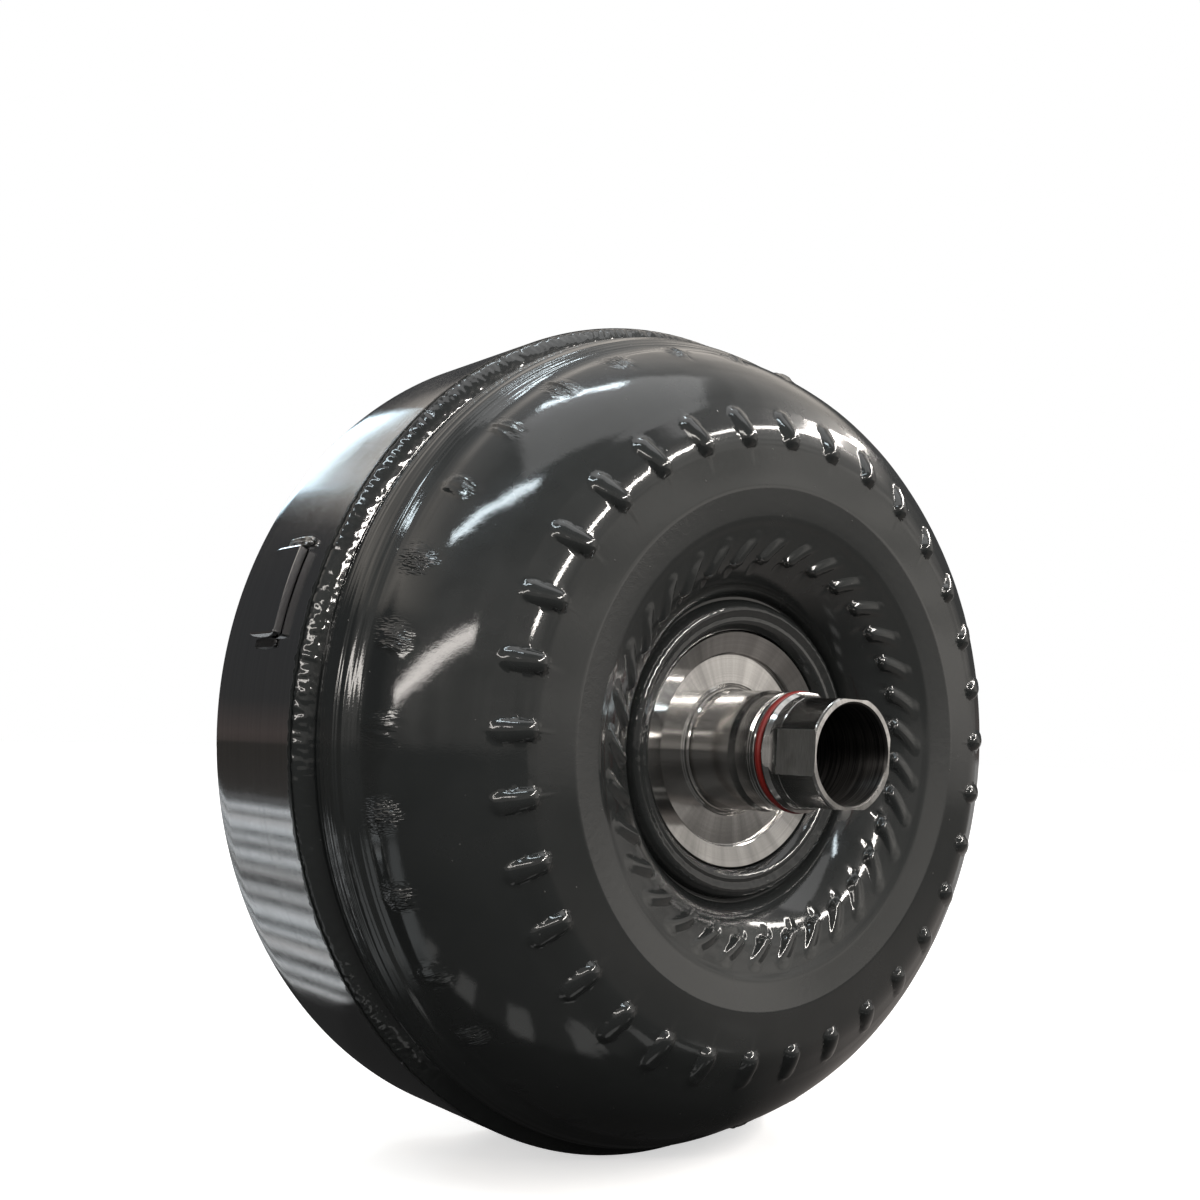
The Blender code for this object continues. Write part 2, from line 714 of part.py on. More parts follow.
def stator_wheel():
    front = CAP_FRONT - 2.9
    groove = (CAP_FRONT - 1.7, CAP_FRONT - 0.2)
    lip = CLUTCH_BACK + GAP + CAP_THICKNESS + GAP
    profile = [
        (STATOR_BORE_R, front),
        (STATOR_HUB_R - 2.0, front),
        (STATOR_HUB_R, front + 2.5),
        (STATOR_HUB_R, lip - 1.7),
        (STATOR_HUB_R - 4.0, lip + 1.3),
        (STATOR_BORE_R - 2.5, lip + 1.3),
        (STATOR_BORE_R - 2.5, lip),
        (STATOR_BORE_R, lip),
        (STATOR_BORE_R, groove[1]),
        (STATOR_BORE_R + 2.0, groove[1]),
        (STATOR_BORE_R + 2.0, groove[0]),
        (STATOR_BORE_R, groove[0]),
    ]
    wheel = turned("stator_wheel", profile, CAST_ALUMINIUM)
    shape = bmesh.new()
    chord, camber = 16.0, 4.0
    blade_front = SHROUD_STATIONS[0] + 0.5
    for angle in spaced(STATOR_BLADES):
        upper, lower = [], []
        for share in (0.0, 0.15, 0.5, 1.0):
            middle = camber * 4 * share * (1 - share)
            half = 0.4 + 2.6 * math.sqrt(share) * (1 - share) * 1.6
            upper.append((share * chord, middle + half))
            lower.append((share * chord, middle - half))
        foot = []
        for along, side in upper + lower[::-1]:
            corner = Vector(polar(SHROUD_R + 1.0, 0, blade_front + along))
            foot.append(shape.verts.new(corner + Vector((0, 0, side * MM))))
        face = shape.faces.new(foot)
        made = bmesh.ops.extrude_face_region(shape, geom=[face])
        lifted = [item for item in made["geom"] if isinstance(item, bmesh.types.BMVert)]
        bmesh.ops.translate(shape, vec=((SHROUD_R + 1.0 - (STATOR_HUB_R - 1.5)) * MM, 0, 0), verts=lifted)
        whole = foot + lifted
        bmesh.ops.transform(shape, matrix=Matrix.Rotation(math.radians(angle), 4, "Y"), verts=whole)
    bmesh.ops.recalc_face_normals(shape, faces=shape.faces)
    mesh = bpy.data.meshes.new("stator_airfoils")
    shape.to_mesh(mesh)
    shape.free()
    shroud = ring("stator_shroud", (SHROUD_R, SHROUD_R + 2.4), SHROUD_STATIONS, None)
    combine(wheel, keep("stator_airfoils", mesh, None), "UNION")
    combine(wheel, shroud, "UNION")


def stator_caps():
    bore_r = STATOR_BORE_R - 0.8
    ring("stator_front_cap", (20.0, bore_r), (CAP_FRONT, CAP_FRONT + CAP_THICKNESS), CAST_ALUMINIUM)
    back = CLUTCH_BACK + GAP
    ring("stator_rear_cap", (20.0, bore_r), (back, back + CAP_THICKNESS), CAST_ALUMINIUM)
    snap = open_ring(STATOR_BORE_R - 1.6, STATOR_BORE_R + 1.1, 20.0, 16)
    plate("stator_snap_ring", [snap], (CAP_FRONT - 1.5, CAP_FRONT - 0.4), SPRING_STEEL)


def one_way_clutch():
    """Eight rollers between a round inner race and an outer race with a ramped pocket for each."""
    ends = (CLUTCH_FRONT, CLUTCH_BACK)
    pocket, land_r = 10.0, RACE_R + 3.4
    deep_r, shallow_r = RACE_R + 9.4, RACE_R + 8.2
    pockets = []
    for middle in spaced(ROLLER_COUNT):
        pockets += [(land_r, middle - pocket), (deep_r, middle - pocket),
                    (shallow_r, middle + pocket), (land_r, middle + pocket)]
    plate("one_way_outer_race", [circle(STATOR_BORE_R - 0.8, SMALL_STEPS), pockets], ends, GROUND_STEEL)
    spline = toothed(BORE_R - 2.2, BORE_R - 0.95, 16)
    plate("one_way_inner_race", [circle(RACE_R, MEDIUM_STEPS), spline], ends, GROUND_STEEL)
    roller_length = CLUTCH_LENGTH - 3.0
    middle = CLUTCH_BACK - 0.8 - roller_length / 2
    for number, angle in enumerate(spaced(ROLLER_COUNT), 1):
        place = along_axis([(ROLLER_CIRCLE_R, angle)], middle)
        cylinder(f"one_way_roller_{number}", ROLLER_R, roller_length, 8, place, GROUND_STEEL)


def roller_cage():
    """A thin ring whose tongues press each roller towards the shallow end of its pocket."""
    front = CLUTCH_FRONT + 0.3
    cage = ring("roller_spring_cage", (RACE_R + 0.5, RACE_R + 2.0), (front, front + 1.0), SPRING_STEEL)
    length, height, thickness = CLUTCH_LENGTH - 4.0, 6.4, 0.9
    shape = bmesh.new()
    for angle in spaced(ROLLER_COUNT, -8.7):
        made = bmesh.ops.create_cube(shape, size=1.0)
        size = Matrix.Diagonal((height * MM, length * MM, thickness * MM, 1.0))
        centre = Vector(polar(RACE_R + 0.7 + height / 2, angle, front + 0.5 + length / 2))
        place = Matrix.Translation(centre) @ Matrix.Rotation(math.radians(angle), 4, "Y") @ size
        bmesh.ops.transform(shape, matrix=place, verts=made["verts"])
    mesh = bpy.data.meshes.new("cage_tongues")
    shape.to_mesh(mesh)
    shape.free()
    combine(cage, keep("cage_tongues", mesh, None), "UNION")


def thrust_bearing(name, radii, cage_front, race_front):
    """A cage with radial needles, and the race on one side of it."""
    needle_r, needle_count = 1.0, 8
    inner, outer = radii
    middle = cage_front + needle_r
    cage = ring(f"{name}_thrust_cage", radii, (middle - 0.45, middle + 0.45), GROUND_STEEL)
    places = []
    for angle in spaced(needle_count):
        lie = Matrix.Rotation(math.radians(angle), 4, "Y") @ Matrix.Rotation(math.pi / 2, 4, "Y")
        places.append((Vector(polar((inner + outer) / 2, angle, middle)), lie))
    needles = cylinder(f"{name}_needles", needle_r, outer - inner - 3.0, 6, places)
    combine(cage, needles, "UNION")
    ring(f"{name}_thrust_race", radii, (race_front, race_front + 0.8), GROUND_STEEL)


clear_scene()
PARTS = new_collection("torque_converter")
TOOLS = new_collection("cutters")
TOOLS.hide_render = True

front_cover()
crank_pilot()
closing_weld()
balance_weight()
impeller_shell()
hub_weld_ring()
impeller_hub()
hub_o_ring()
impeller_blades()
piston_guide_hub()
lockup_piston()
clutch_drum()
clutch_pack()
clutch_hub()
damper_plates()
damper_springs()
turbine_hub()
turbine_shell()
turbine_blades()
stator_wheel()
stator_caps()
one_way_clutch()
roller_cage()
thrust_bearing("front", (25.6, 34.0), PLATE_BACK + 11.9, PLATE_BACK + 10.8)
thrust_bearing("middle", (25.0, 36.5), TURBINE_HUB_BACK + 1.4, TURBINE_HUB_BACK + 0.3)
thrust_bearing("rear", (25.0, 41.5), FLANGE_BACK - 2.5, FLANGE_BACK - 3.6)
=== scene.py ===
import math

import bmesh
import bpy
import numpy as np
from mathutils import Matrix, Vector

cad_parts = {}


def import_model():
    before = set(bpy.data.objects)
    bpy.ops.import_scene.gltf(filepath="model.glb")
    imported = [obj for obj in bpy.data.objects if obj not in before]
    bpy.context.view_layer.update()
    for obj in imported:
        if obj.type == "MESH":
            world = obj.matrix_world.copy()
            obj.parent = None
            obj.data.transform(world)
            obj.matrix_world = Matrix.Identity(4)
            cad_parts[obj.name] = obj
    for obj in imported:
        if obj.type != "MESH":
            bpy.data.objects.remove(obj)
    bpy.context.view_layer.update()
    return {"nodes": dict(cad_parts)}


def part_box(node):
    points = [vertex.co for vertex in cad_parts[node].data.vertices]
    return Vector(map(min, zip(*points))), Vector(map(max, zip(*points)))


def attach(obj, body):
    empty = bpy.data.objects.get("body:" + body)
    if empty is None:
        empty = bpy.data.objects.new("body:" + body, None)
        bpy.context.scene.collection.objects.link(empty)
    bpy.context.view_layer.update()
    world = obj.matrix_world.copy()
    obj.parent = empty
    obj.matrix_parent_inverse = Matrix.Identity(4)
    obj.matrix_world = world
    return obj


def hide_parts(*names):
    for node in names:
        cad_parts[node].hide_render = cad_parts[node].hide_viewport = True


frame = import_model()

# The shaft axis is Y. A station is a distance in millimetres from the crank pilot's end towards the hub,
# which is -Y, and an angle is measured from -X towards +Z.
MM = 0.001
FULL_TURN = 2 * math.pi
SAME_POINT = 1e-6  # metres
SLIVER = 1e-7


def edge_radius(node):
    """The largest radius of a round CAD node, in millimetres."""
    low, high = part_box(node)
    return max(high.x, high.z, -low.z) / MM


def stations(node):
    """A CAD node's first and last station."""
    low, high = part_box(node)
    return -high.y / MM, -low.y / MM


# Sizes read from the frame
COVER_R = edge_radius("front_cover")
SKIRT_END = stations("front_cover")[1]
COVER_TOP = stations("front_cover")[0]  # the bosses' faces
PILOT_R = edge_radius("crank_pilot")
PILOT_BACK = stations("crank_pilot")[1]
LENGTH = stations("impeller_hub")[1]
FLANGE_BACK = stations("impeller_hub")[0]
FLANGE_R = edge_radius("impeller_hub")
SHELL_START, CREST = stations("impeller_shell")
RIM_R = edge_radius("impeller_shell")
WELD_START = stations("closing_weld")[0]
O_RING_MIDDLE = sum(stations("hub_o_ring")) / 2

# Shell
BLADES = 33
BLADE_PITCH = 360.0 / BLADES
WALL = 4.0
CREST_R = 91.8
RIM_POWERS = (1.128, 0.697)
BOWL = 112.5
BOWL_WIDTH = 37.3
BOWL_POWER = 1.3
SHOULDER_R = 112.0  # where the dome starts to turn into the flat face
FLAT_R = 103.5
FLAT_STATION = 134.6
CREASE_R = 90.5
MARK_R = 140.5  # the outer row of faint blade marks

# Cover
COVER_FACE = COVER_TOP + 6.0
PLATE_BACK = COVER_FACE + 6.5
SKIRT_R = COVER_R - 6.6
BOSS_COUNT = 6
BOSS_R = 14.0
BOSS_CIRCLE_R = 138.0
THREAD_R = 5.0
THREAD_PITCH = 1.5

# Hub
BORE_R = 16.85
JOURNAL_R = 21.2
LAND_R = 20.5
NOSE_R = 19.6
FLAT_DISTANCE = 18.1
FLAT_START = 149.5
FLAT_ANGLE = 1.4
FLAT_COUNT = 4

HOUSING = "housing"


# ---------------------------------------------------------------- mesh code

def spread(first, last, count):
    """This many evenly spaced numbers, both ends included."""
    return list(np.linspace(first, last, count))


def arc(centre, radius, first, last, count):
    """Points (radius, station) on a small arc. Angle 0 points away from the axis, and 90 towards the hub."""
    return [
        (centre[0] + radius * math.cos(math.radians(a)), centre[1] + radius * math.sin(math.radians(a)))
        for a in spread(first, last, count)
    ]


def grid_mesh(name, points, closed=True):
    """A mesh from points[row, column], joined round the columns, and round the rows too if it is closed."""
    rows, columns, _ = points.shape
    row = np.arange(rows if closed else rows - 1)
    column = np.arange(columns)
    here = row[:, None] * columns + column[None, :]
    below = ((row + 1) % rows)[:, None] * columns + column[None, :]
    here_next, below_next = np.roll(here, -1, axis=1), np.roll(below, -1, axis=1)
    faces = np.stack([here, here_next, below_next, below], axis=-1).reshape(-1, 4)
    flat = points.reshape(-1, 3)
    corners = flat[faces]
    volume = 0.0
    for a, b, c in ((0, 1, 2), (0, 2, 3)):
        volume += np.einsum("ij,ij->i", corners[:, a], np.cross(corners[:, b], corners[:, c])).sum()
    if volume < 0:
        faces = faces[:, ::-1]
    mesh = bpy.data.meshes.new(name)
    mesh.from_pydata(flat.tolist(), [], faces.tolist())
    return mesh


def round_points(radius, station, degrees):
    """Points in metres from arrays of radii, stations and angles."""
    angle = np.radians(degrees)
    return np.stack([-radius * np.cos(angle), -station + 0 * angle, radius * np.sin(angle)], axis=-1) * MM


def smooth(mesh, sharp_degrees):
    mesh.polygons.foreach_set("use_smooth", np.ones(len(mesh.polygons), bool))
    mesh.set_sharp_from_angle(angle=math.radians(sharp_degrees))
    mesh.update()


def merge_poles(mesh):
    """Joins the points that lie on the axis."""
    shape = bmesh.new()
    shape.from_mesh(mesh)
    on_axis = [v for v in shape.verts if math.hypot(v.co.x, v.co.z) < SAME_POINT]
    bmesh.ops.remove_doubles(shape, verts=on_axis, dist=SAME_POINT)
    shape.to_mesh(mesh)
    shape.free()


def drop_slivers(mesh):
    """Joins the points that a Boolean leaves on top of each other, with the faces between them."""
    shape = bmesh.new()
    shape.from_mesh(mesh)
    bmesh.ops.remove_doubles(shape, verts=shape.verts, dist=SLIVER)
    bmesh.ops.dissolve_degenerate(shape, edges=shape.edges, dist=SLIVER)
    shape.to_mesh(mesh)
    shape.free()


def lathe(name, profile, columns):
    """A closed profile of (radius, station) points turned round the axis."""
    profile = np.array(profile, float)
    degrees = np.arange(columns) * 360.0 / columns
    points = round_points(profile[:, 0, None], profile[:, 1, None], degrees[None, :])
    mesh = grid_mesh(name, points)
    if profile[:, 0].min() == 0:
        merge_poles(mesh)
    return mesh


def add_object(name, data):
    obj = bpy.data.objects.new(name, data)
    bpy.context.scene.collection.objects.link(obj)
    return obj


def piece(name, mesh, material, replaced=()):
    """A visible piece that rides on the housing, in place of the CAD nodes it replaces."""
    obj = add_object(name, mesh)
    mesh.materials.clear()
    mesh.materials.append(material)
    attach(obj, HOUSING)
    if replaced:
        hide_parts(*replaced)
    return obj


def cut(obj, tool_mesh):
    """Cuts a tool's shape out of an object."""
    tool = add_object("cutter", tool_mesh)
    modifier = obj.modifiers.new("cut", "BOOLEAN")
    modifier.operation = "DIFFERENCE"
    modifier.solver = "EXACT"
    modifier.object = tool
    graph = bpy.context.evaluated_depsgraph_get()
    result = bpy.data.meshes.new_from_object(obj.evaluated_get(graph))
    drop_slivers(result)
    obj.modifiers.clear()
    obj.data = result
    bpy.data.objects.remove(tool)


def paint_faces(obj, material, chosen):
    """Gives a second material to the faces that chosen(centre, normal) picks."""
    obj.data.materials.append(material)
    index = len(obj.data.materials) - 1
    for polygon in obj.data.polygons:
        if chosen(polygon.center, polygon.normal):
            polygon.material_index = index


def smoothstep(value, low, high):
    """Rises smoothly from 0 at low to 1 at high."""
    share = np.clip((value - low) / (high - low), 0, 1)
    return share * share * (3 - 2 * share)


def ripple(degrees, count, seed):
    """A smooth random curve round the axis, between -1 and 1, with about this many waves."""
    rng = np.random.default_rng(seed)
    total = np.zeros_like(degrees, float)
    for _ in range(12):
        waves = max(1, round(count * rng.uniform(0.4, 1.8)))
        total += np.sin(np.radians(degrees * waves) + rng.uniform(0, FULL_TURN)) * rng.uniform(0.5, 1.0)
    return np.tanh(total * 0.36)


# ---------------------------------------------------------------- materials

class Graph:
    """A short way to write the node tree of a new material, or a tree that is given."""

    def __init__(self, name, tree=None):
        if tree is None:
            self.material = bpy.data.materials.new(name)
            self.material.use_nodes = True
            tree = self.material.node_tree
            self.shader = tree.nodes["Principled BSDF"]
        self.tree = tree

    def node(self, kind, inputs=(), **settings):
        made = self.tree.nodes.new("ShaderNode" + kind)
        for key, value in settings.items():
            setattr(made, key, value)
        for key, value in dict(inputs).items():
            self.put(made.inputs[key], value)
        return made

    def put(self, socket, value):
        if isinstance(value, bpy.types.NodeSocket):
            self.tree.links.new(value, socket)
        else:
            socket.default_value = value

    def math(self, operation, a, b=0.0, c=0.0):
        return self.node("Math", {0: a, 1: b, 2: c}, operation=operation).outputs[0]

    def plus(self, a, b):
        return self.math("ADD", a, b)

    def minus(self, a, b):
        return self.math("SUBTRACT", a, b)

    def times(self, a, b):
        return self.math("MULTIPLY", a, b)

    def apart(self, a, b):
        return self.math("ABSOLUTE", self.minus(a, b))

    def vector(self, x, y, z=0.0):
        return self.node("CombineXYZ", {0: x, 1: y, 2: z}).outputs[0]

    def add_vectors(self, first, second):
        return self.node("VectorMath", {0: first, 1: second}, operation="ADD").outputs[0]

    def length(self, vector):
        return self.node("VectorMath", {0: vector}, operation="LENGTH").outputs["Value"]

    def scale(self, vector, by):
        if isinstance(by, (int, float)):
            by = (by, by, by)
        return self.node("VectorMath", {0: vector, 1: by}, operation="MULTIPLY").outputs[0]

    def place(self):
        return self.node("TexCoord").outputs["Object"]

    def axis_place(self):
        """The direction away from the axis, the radius in metres and the height along the axis."""
        split = self.node("SeparateXYZ", {0: self.place()})
        flat = self.vector(split.outputs[0], 0.0, split.outputs[2])
        away = self.node("VectorMath", {0: flat}, operation="NORMALIZE").outputs[0]
        return away, self.length(flat), split.outputs[1]

    def noise(self, vector, scale, detail=2.0, roughness=0.5):
        inputs = {"Vector": vector, "Scale": scale, "Detail": detail, "Roughness": roughness}
        return self.node("TexNoise", inputs).outputs[0]

    def range(self, value, low, high, to_low=0.0, to_high=1.0):
        """Takes low..high to to_low..to_high, and clamps."""
        inputs = {0: value, 1: low, 2: high, 3: to_low, 4: to_high}
        return self.node("MapRange", inputs, clamp=True).outputs[0]

    def colors(self, value, *stops):
        """A colour ramp from (position, colour) stops."""
        ramp = self.node("ValToRGB", {0: value})
        elements = ramp.color_ramp.elements
        while len(elements) < len(stops):
            elements.new(0.5)
        for element, (at, color) in zip(elements, stops):
            element.position = at
            element.color = (*color, 1.0)
        return ramp.outputs[0]

    def mix(self, factor, first, second):
        made = self.node("Mix", data_type="RGBA")
        for key, value in (("Factor_Float", factor), ("A_Color", first), ("B_Color", second)):
            socket = next(s for s in made.inputs if s.identifier == key)
            if not isinstance(value, (int, float, bpy.types.NodeSocket)):
                value = (*value, 1.0)
            self.put(socket, value)
        return next(s for s in made.outputs if s.identifier == "Result_Color")

    def bump(self, height, distance, strength=1.0, normal=None):
        inputs = {"Height": height, "Distance": distance, "Strength": strength}
        if normal is not None:
            inputs["Normal"] = normal
        return self.node("Bump", inputs).outputs[0]

    def principled(self, **inputs):
        """Fills the shader's sockets, written with _ for a space, and returns the material."""
        for key, value in inputs.items():
            key = key.replace("_", " ")
            if key == "Base Color" and not isinstance(value, bpy.types.NodeSocket):
                value = (*value, 1.0)
            self.put(self.shader.inputs[key], value)
        return self.material


def gloss_paint():
    """Dark enamel with a fine orange peel, overspray grain and a few specks of dust.

    It is crinkled at the outer row of marks, and rolled in fine lines beside the closing weld.
    """
    mark_shift = 0.29  # in blade pitches
    half_across, half_along = 0.27, 0.0042  # a crinkled patch, in blade pitches and in metres
    g = Graph("dark_gloss_enamel")
    place = g.place()
    peel = g.noise(place, 420.0, 3.0, 0.55)
    grain = g.noise(place, 2600.0, 2.0, 0.6)
    cloud = g.noise(place, 26.0, 4.0, 0.6)
    dust = g.node("TexVoronoi", {"Vector": place, "Scale": 130.0}, feature="F1").outputs["Distance"]
    speck = g.range(dust, 0.015, 0.045, 1.0, 0.0)
    normal = g.bump(peel, 0.00004, 0.5)
    normal = g.bump(grain, 0.000022, 0.5, normal)
    normal = g.bump(speck, 0.00008, 0.8, normal)
    split = g.node("SeparateXYZ", {0: place})
    height = split.outputs[1]
    away, radius, _ = g.axis_place()

    around = g.math("ARCTAN2", split.outputs[2], g.times(split.outputs[0], -1.0))
    blade = g.math("FRACT", g.plus(g.times(around, BLADES / FULL_TURN), BLADES + mark_shift))
    beside = g.math("DIVIDE", g.apart(blade, 0.5), half_across)
    off_row = g.math("DIVIDE", g.apart(radius, MARK_R * MM), half_along)
    patch = g.range(g.length(g.vector(beside, off_row)), 0.15, 1.0, 1.0, 0.0)
    patch = g.times(patch, g.range(g.noise(place, 31.0), 0.38, 0.62, 0.1, 1.3))
    patch = g.times(patch, g.range(height, -0.095, -0.1))
    crease = g.noise(g.vector(g.times(around, 150.0), g.times(height, 260.0)), 0.8, 1.0)
    normal = g.bump(g.times(g.apart(crease, 0.5), patch), 0.0019, 0.9, normal)

    near_weld = g.times(g.range(height, -0.078, -0.082), g.range(height, -0.1, -0.09))
    near_weld = g.times(near_weld, g.range(radius, 0.142, 0.144))
    rolls = g.add_vectors(g.scale(away, 0.9), g.vector(0.0, g.times(height, 560.0)))
    rolls = g.minus(g.noise(rolls, 1.0, 1.0), 0.5)
    normal = g.bump(g.times(rolls, near_weld), 0.001, 0.8, normal)

    shade = g.colors(cloud, (0.3, (0.017, 0.019, 0.019)), (0.7, (0.024, 0.026, 0.026)))
    shade = g.mix(g.times(speck, 0.5), shade, (0.16, 0.16, 0.155))
    rough = g.plus(g.range(cloud, 0.3, 0.7, 0.2, 0.3), g.times(speck, 0.3))
    return g.principled(
        Base_Color=shade, Roughness=rough, Normal=normal, Metallic=0.0, IOR=1.5, Specular_IOR_Level=0.1,
        Coat_Weight=1.0, Coat_Roughness=0.03, Coat_IOR=1.62, Coat_Normal=normal)


def turned_steel(name, light, dark, smooth_level, line_scale, depth, stained, drawn, chatter=0.0, painted_fan_strength=0.0,
                 painted_from=None):
    """Bare steel with the fine rings that a lathe leaves, and faint stains.

    drawn is how far the rings stretch the highlights, chatter a waviness round the axis, and fans the
    strength of dark sectors painted into the colour round the axis, a painted reflection that stands in for
    the fan-shaped highlights of turned steel. painted_from is the height where a ragged edge of black paint
    begins.
    """
    g = Graph(name)
    away, radius, height = g.axis_place()
    rings = g.vector(g.times(radius, line_scale), g.times(height, line_scale))
    along = g.add_vectors(g.scale(away, 0.55), rings)
    round_axis = g.scale(away, (1.0, 0.0, 1.0))
    fine = g.noise(along, 1.0, 3.0, 0.65)
    wide = g.noise(along, 0.12)
    stain = g.noise(g.place(), 34.0, 5.0, 0.62)
    scratch = g.noise(g.place(), 900.0, 3.0, 0.7)
    normal = g.bump(fine, depth, 0.7)
    normal = g.bump(wide, depth * 1.3, 0.35, normal)
    if chatter:
        normal = g.bump(g.noise(round_axis, 17.0, 2.0, 0.6), chatter, 0.6, normal)
    shade = g.mix(g.range(fine, 0.35, 0.65), dark, light)
    tint = (light[0] * 0.88, light[1] * 0.82, light[2] * 0.78)
    shade = g.mix(g.range(stain, 0.5, 0.8, 0.0, stained), shade, tint)
    # painted reflection: dark sectors round the axis are painted into the colour in place of the fans of
    # reflected light on turned steel
    if painted_fan_strength:
        painted_fan_noise = g.noise(round_axis, 2.4, 4.0, 0.65)
        shade = g.mix(g.range(painted_fan_noise, 0.4, 0.6, painted_fan_strength, 0.0), shade, tuple(0.3 * value for value in dark))
    rough = g.range(stain, 0.3, 0.75, smooth_level, smooth_level + 0.2 * stained)
    rough = g.plus(rough, g.range(scratch, 0.45, 0.8, -0.1 * stained, 0.2 * stained))
    metal = 1.0
    if painted_from is not None:
        ragged = g.noise(away, 34.0, 5.0, 0.7)
        edge = g.plus(height, g.range(ragged, 0.3, 0.7, -0.0016, 0.0016))
        paint = g.range(edge, painted_from, painted_from - 0.00015)
        shade = g.mix(paint, shade, (0.02, 0.022, 0.022))
        rough = g.times(rough, g.range(paint, 0.0, 1.0, 1.0, 2.0))
        metal = g.minus(1.0, paint)
    tangent = g.node("Tangent", direction_type="RADIAL", axis="Y").outputs[0]
    return g.principled(
        Base_Color=shade, Roughness=rough, Metallic=metal, Normal=normal, Tangent=tangent,
        Anisotropic=drawn, Anisotropic_Rotation=0.25)


def milled_steel():
    """The flats' finish: short straight mill marks across the flat."""
    g = Graph("milled_steel")
    place = g.place()
    marks = g.noise(g.scale(place, (300.0, 4200.0, 300.0)), 1.0, 3.0, 0.6)
    cloud = g.noise(place, 160.0, 4.0, 0.6)
    normal = g.bump(marks, 0.000012, 0.6)
    shade = g.colors(marks, (0.3, (0.44, 0.44, 0.43)), (0.7, (0.62, 0.62, 0.61)))
    rough = g.range(cloud, 0.3, 0.7, 0.3, 0.42)
    return g.principled(Base_Color=shade, Roughness=rough, Metallic=1.0, Normal=normal)


def weld_steel():
    """A bare tack weld, heat tinted and rough."""
    g = Graph("tack_weld_steel")
    place = g.place()
    lumps = g.noise(place, 700.0, 4.0, 0.6)
    tint = g.noise(place, 180.0, 3.0, 0.5)
    shade = g.colors(tint, (0.3, (0.36, 0.38, 0.4)), (0.5, (0.55, 0.55, 0.54)), (0.72, (0.3, 0.27, 0.25)))
    return g.principled(
        Base_Color=shade, Metallic=1.0, Roughness=g.range(lumps, 0.3, 0.7, 0.22, 0.45),
        Normal=g.bump(lumps, 0.0003, 0.7))


def plain_metal(name, light, dark, roughness, scale, depth):
    """Sheet, cast or spring metal: a grain of this scale and depth, with a cloudy tone."""
    g = Graph(name)
    place = g.place()
    grain = g.noise(place, scale, 4.0, 0.65)
    cloud = g.noise(place, 40.0, 3.0, 0.6)
    shade = g.mix(g.range(cloud, 0.3, 0.7), dark, light)
    rough = g.range(grain, 0.3, 0.7, roughness - 0.05, roughness + 0.08)
    return g.principled(Base_Color=shade, Roughness=rough, Metallic=1.0, Normal=g.bump(grain, depth, 0.6))


def rubber(name, dark, light, roughness):
    """Moulded rubber with a fine grain."""
    g = Graph(name)
    place = g.place()
    grain = g.noise(place, 1500.0, 3.0, 0.6)
    cloud = g.noise(place, 90.0, 4.0, 0.6)
    shade = g.mix(g.range(cloud, 0.3, 0.7), dark, light)
    return g.principled(
        Base_Color=shade, Roughness=g.range(grain, 0.3, 0.7, roughness, roughness + 0.15),
        Normal=g.bump(grain, 0.00004, 0.5), Metallic=0.0, IOR=1.5)


def friction_paper():
    """Fibrous brown lining."""
    g = Graph("friction_paper_fibre")
    place = g.place()
    fibre = g.noise(g.scale(place, (1.0, 0.3, 1.0)), 900.0, 5.0, 0.7)
    shade = g.colors(fibre, (0.3, (0.1, 0.05, 0.025)), (0.55, (0.2, 0.12, 0.06)), (0.75, (0.34, 0.23, 0.13)))
    return g.principled(
        Base_Color=shade, Metallic=0.0, Roughness=g.range(fibre, 0.3, 0.7, 0.75, 0.95),
        Normal=g.bump(fibre, 0.0001, 0.8))


PAINT = gloss_paint()
COVER_STEEL = turned_steel(
    "turned_cover_steel", (0.56, 0.56, 0.565), (0.46, 0.46, 0.47), smooth_level=0.09, line_scale=3200.0,
    depth=0.000005, stained=0.2, drawn=0.75, chatter=0.00005, painted_from=-(SKIRT_END - 1.2) * MM)
HUB_STEEL = turned_steel(
    "turned_hub_steel", (0.68, 0.67, 0.655), (0.58, 0.57, 0.555), smooth_level=0.115, line_scale=3400.0,
    depth=0.0000014, stained=0.06, drawn=0.82, painted_fan_strength=0.5)
# painted shade: the bore's steel is near black, a dark colour standing in for the shade inside the bore
BORE_SHADE_STEEL = turned_steel(
    "bore_steel_painted_dark", (0.17, 0.165, 0.16), (0.03, 0.03, 0.03), smooth_level=0.36, line_scale=1300.0,
    depth=0.00003, stained=0.1, drawn=0.85)
FACE_STEEL = turned_steel(
    "faced_cover_steel", (0.5, 0.5, 0.5), (0.4, 0.4, 0.405), smooth_level=0.27, line_scale=2400.0,
    depth=0.000008, stained=0.3, drawn=0.5)
MILLED = milled_steel()
TACK = weld_steel()
# a dark, rough steel, given to the weight strip's side that faces the hub and to the lower tack weld
DARK_ROUGH_STEEL = plain_metal("dark_rough_steel", (0.1, 0.1, 0.1), (0.05, 0.05, 0.052), 0.42, 1400.0, 0.00012)
SHEET = plain_metal("pressed_sheet_steel", (0.4, 0.4, 0.41), (0.28, 0.28, 0.29), 0.36, 700.0, 0.00003)
SPRING = plain_metal("blued_spring_steel", (0.2, 0.22, 0.27), (0.12, 0.13, 0.17), 0.3, 1100.0, 0.00002)
CAST = plain_metal("die_cast_aluminium", (0.66, 0.67, 0.68), (0.52, 0.53, 0.54), 0.42, 500.0, 0.0001)
LINING = friction_paper()
RED_RUBBER = rubber("red_seal_rubber", (0.16, 0.005, 0.003), (0.24, 0.009, 0.005), 0.34)
BLACK_RUBBER = rubber("black_seal_rubber", (0.012, 0.012, 0.012), (0.03, 0.03, 0.03), 0.4)
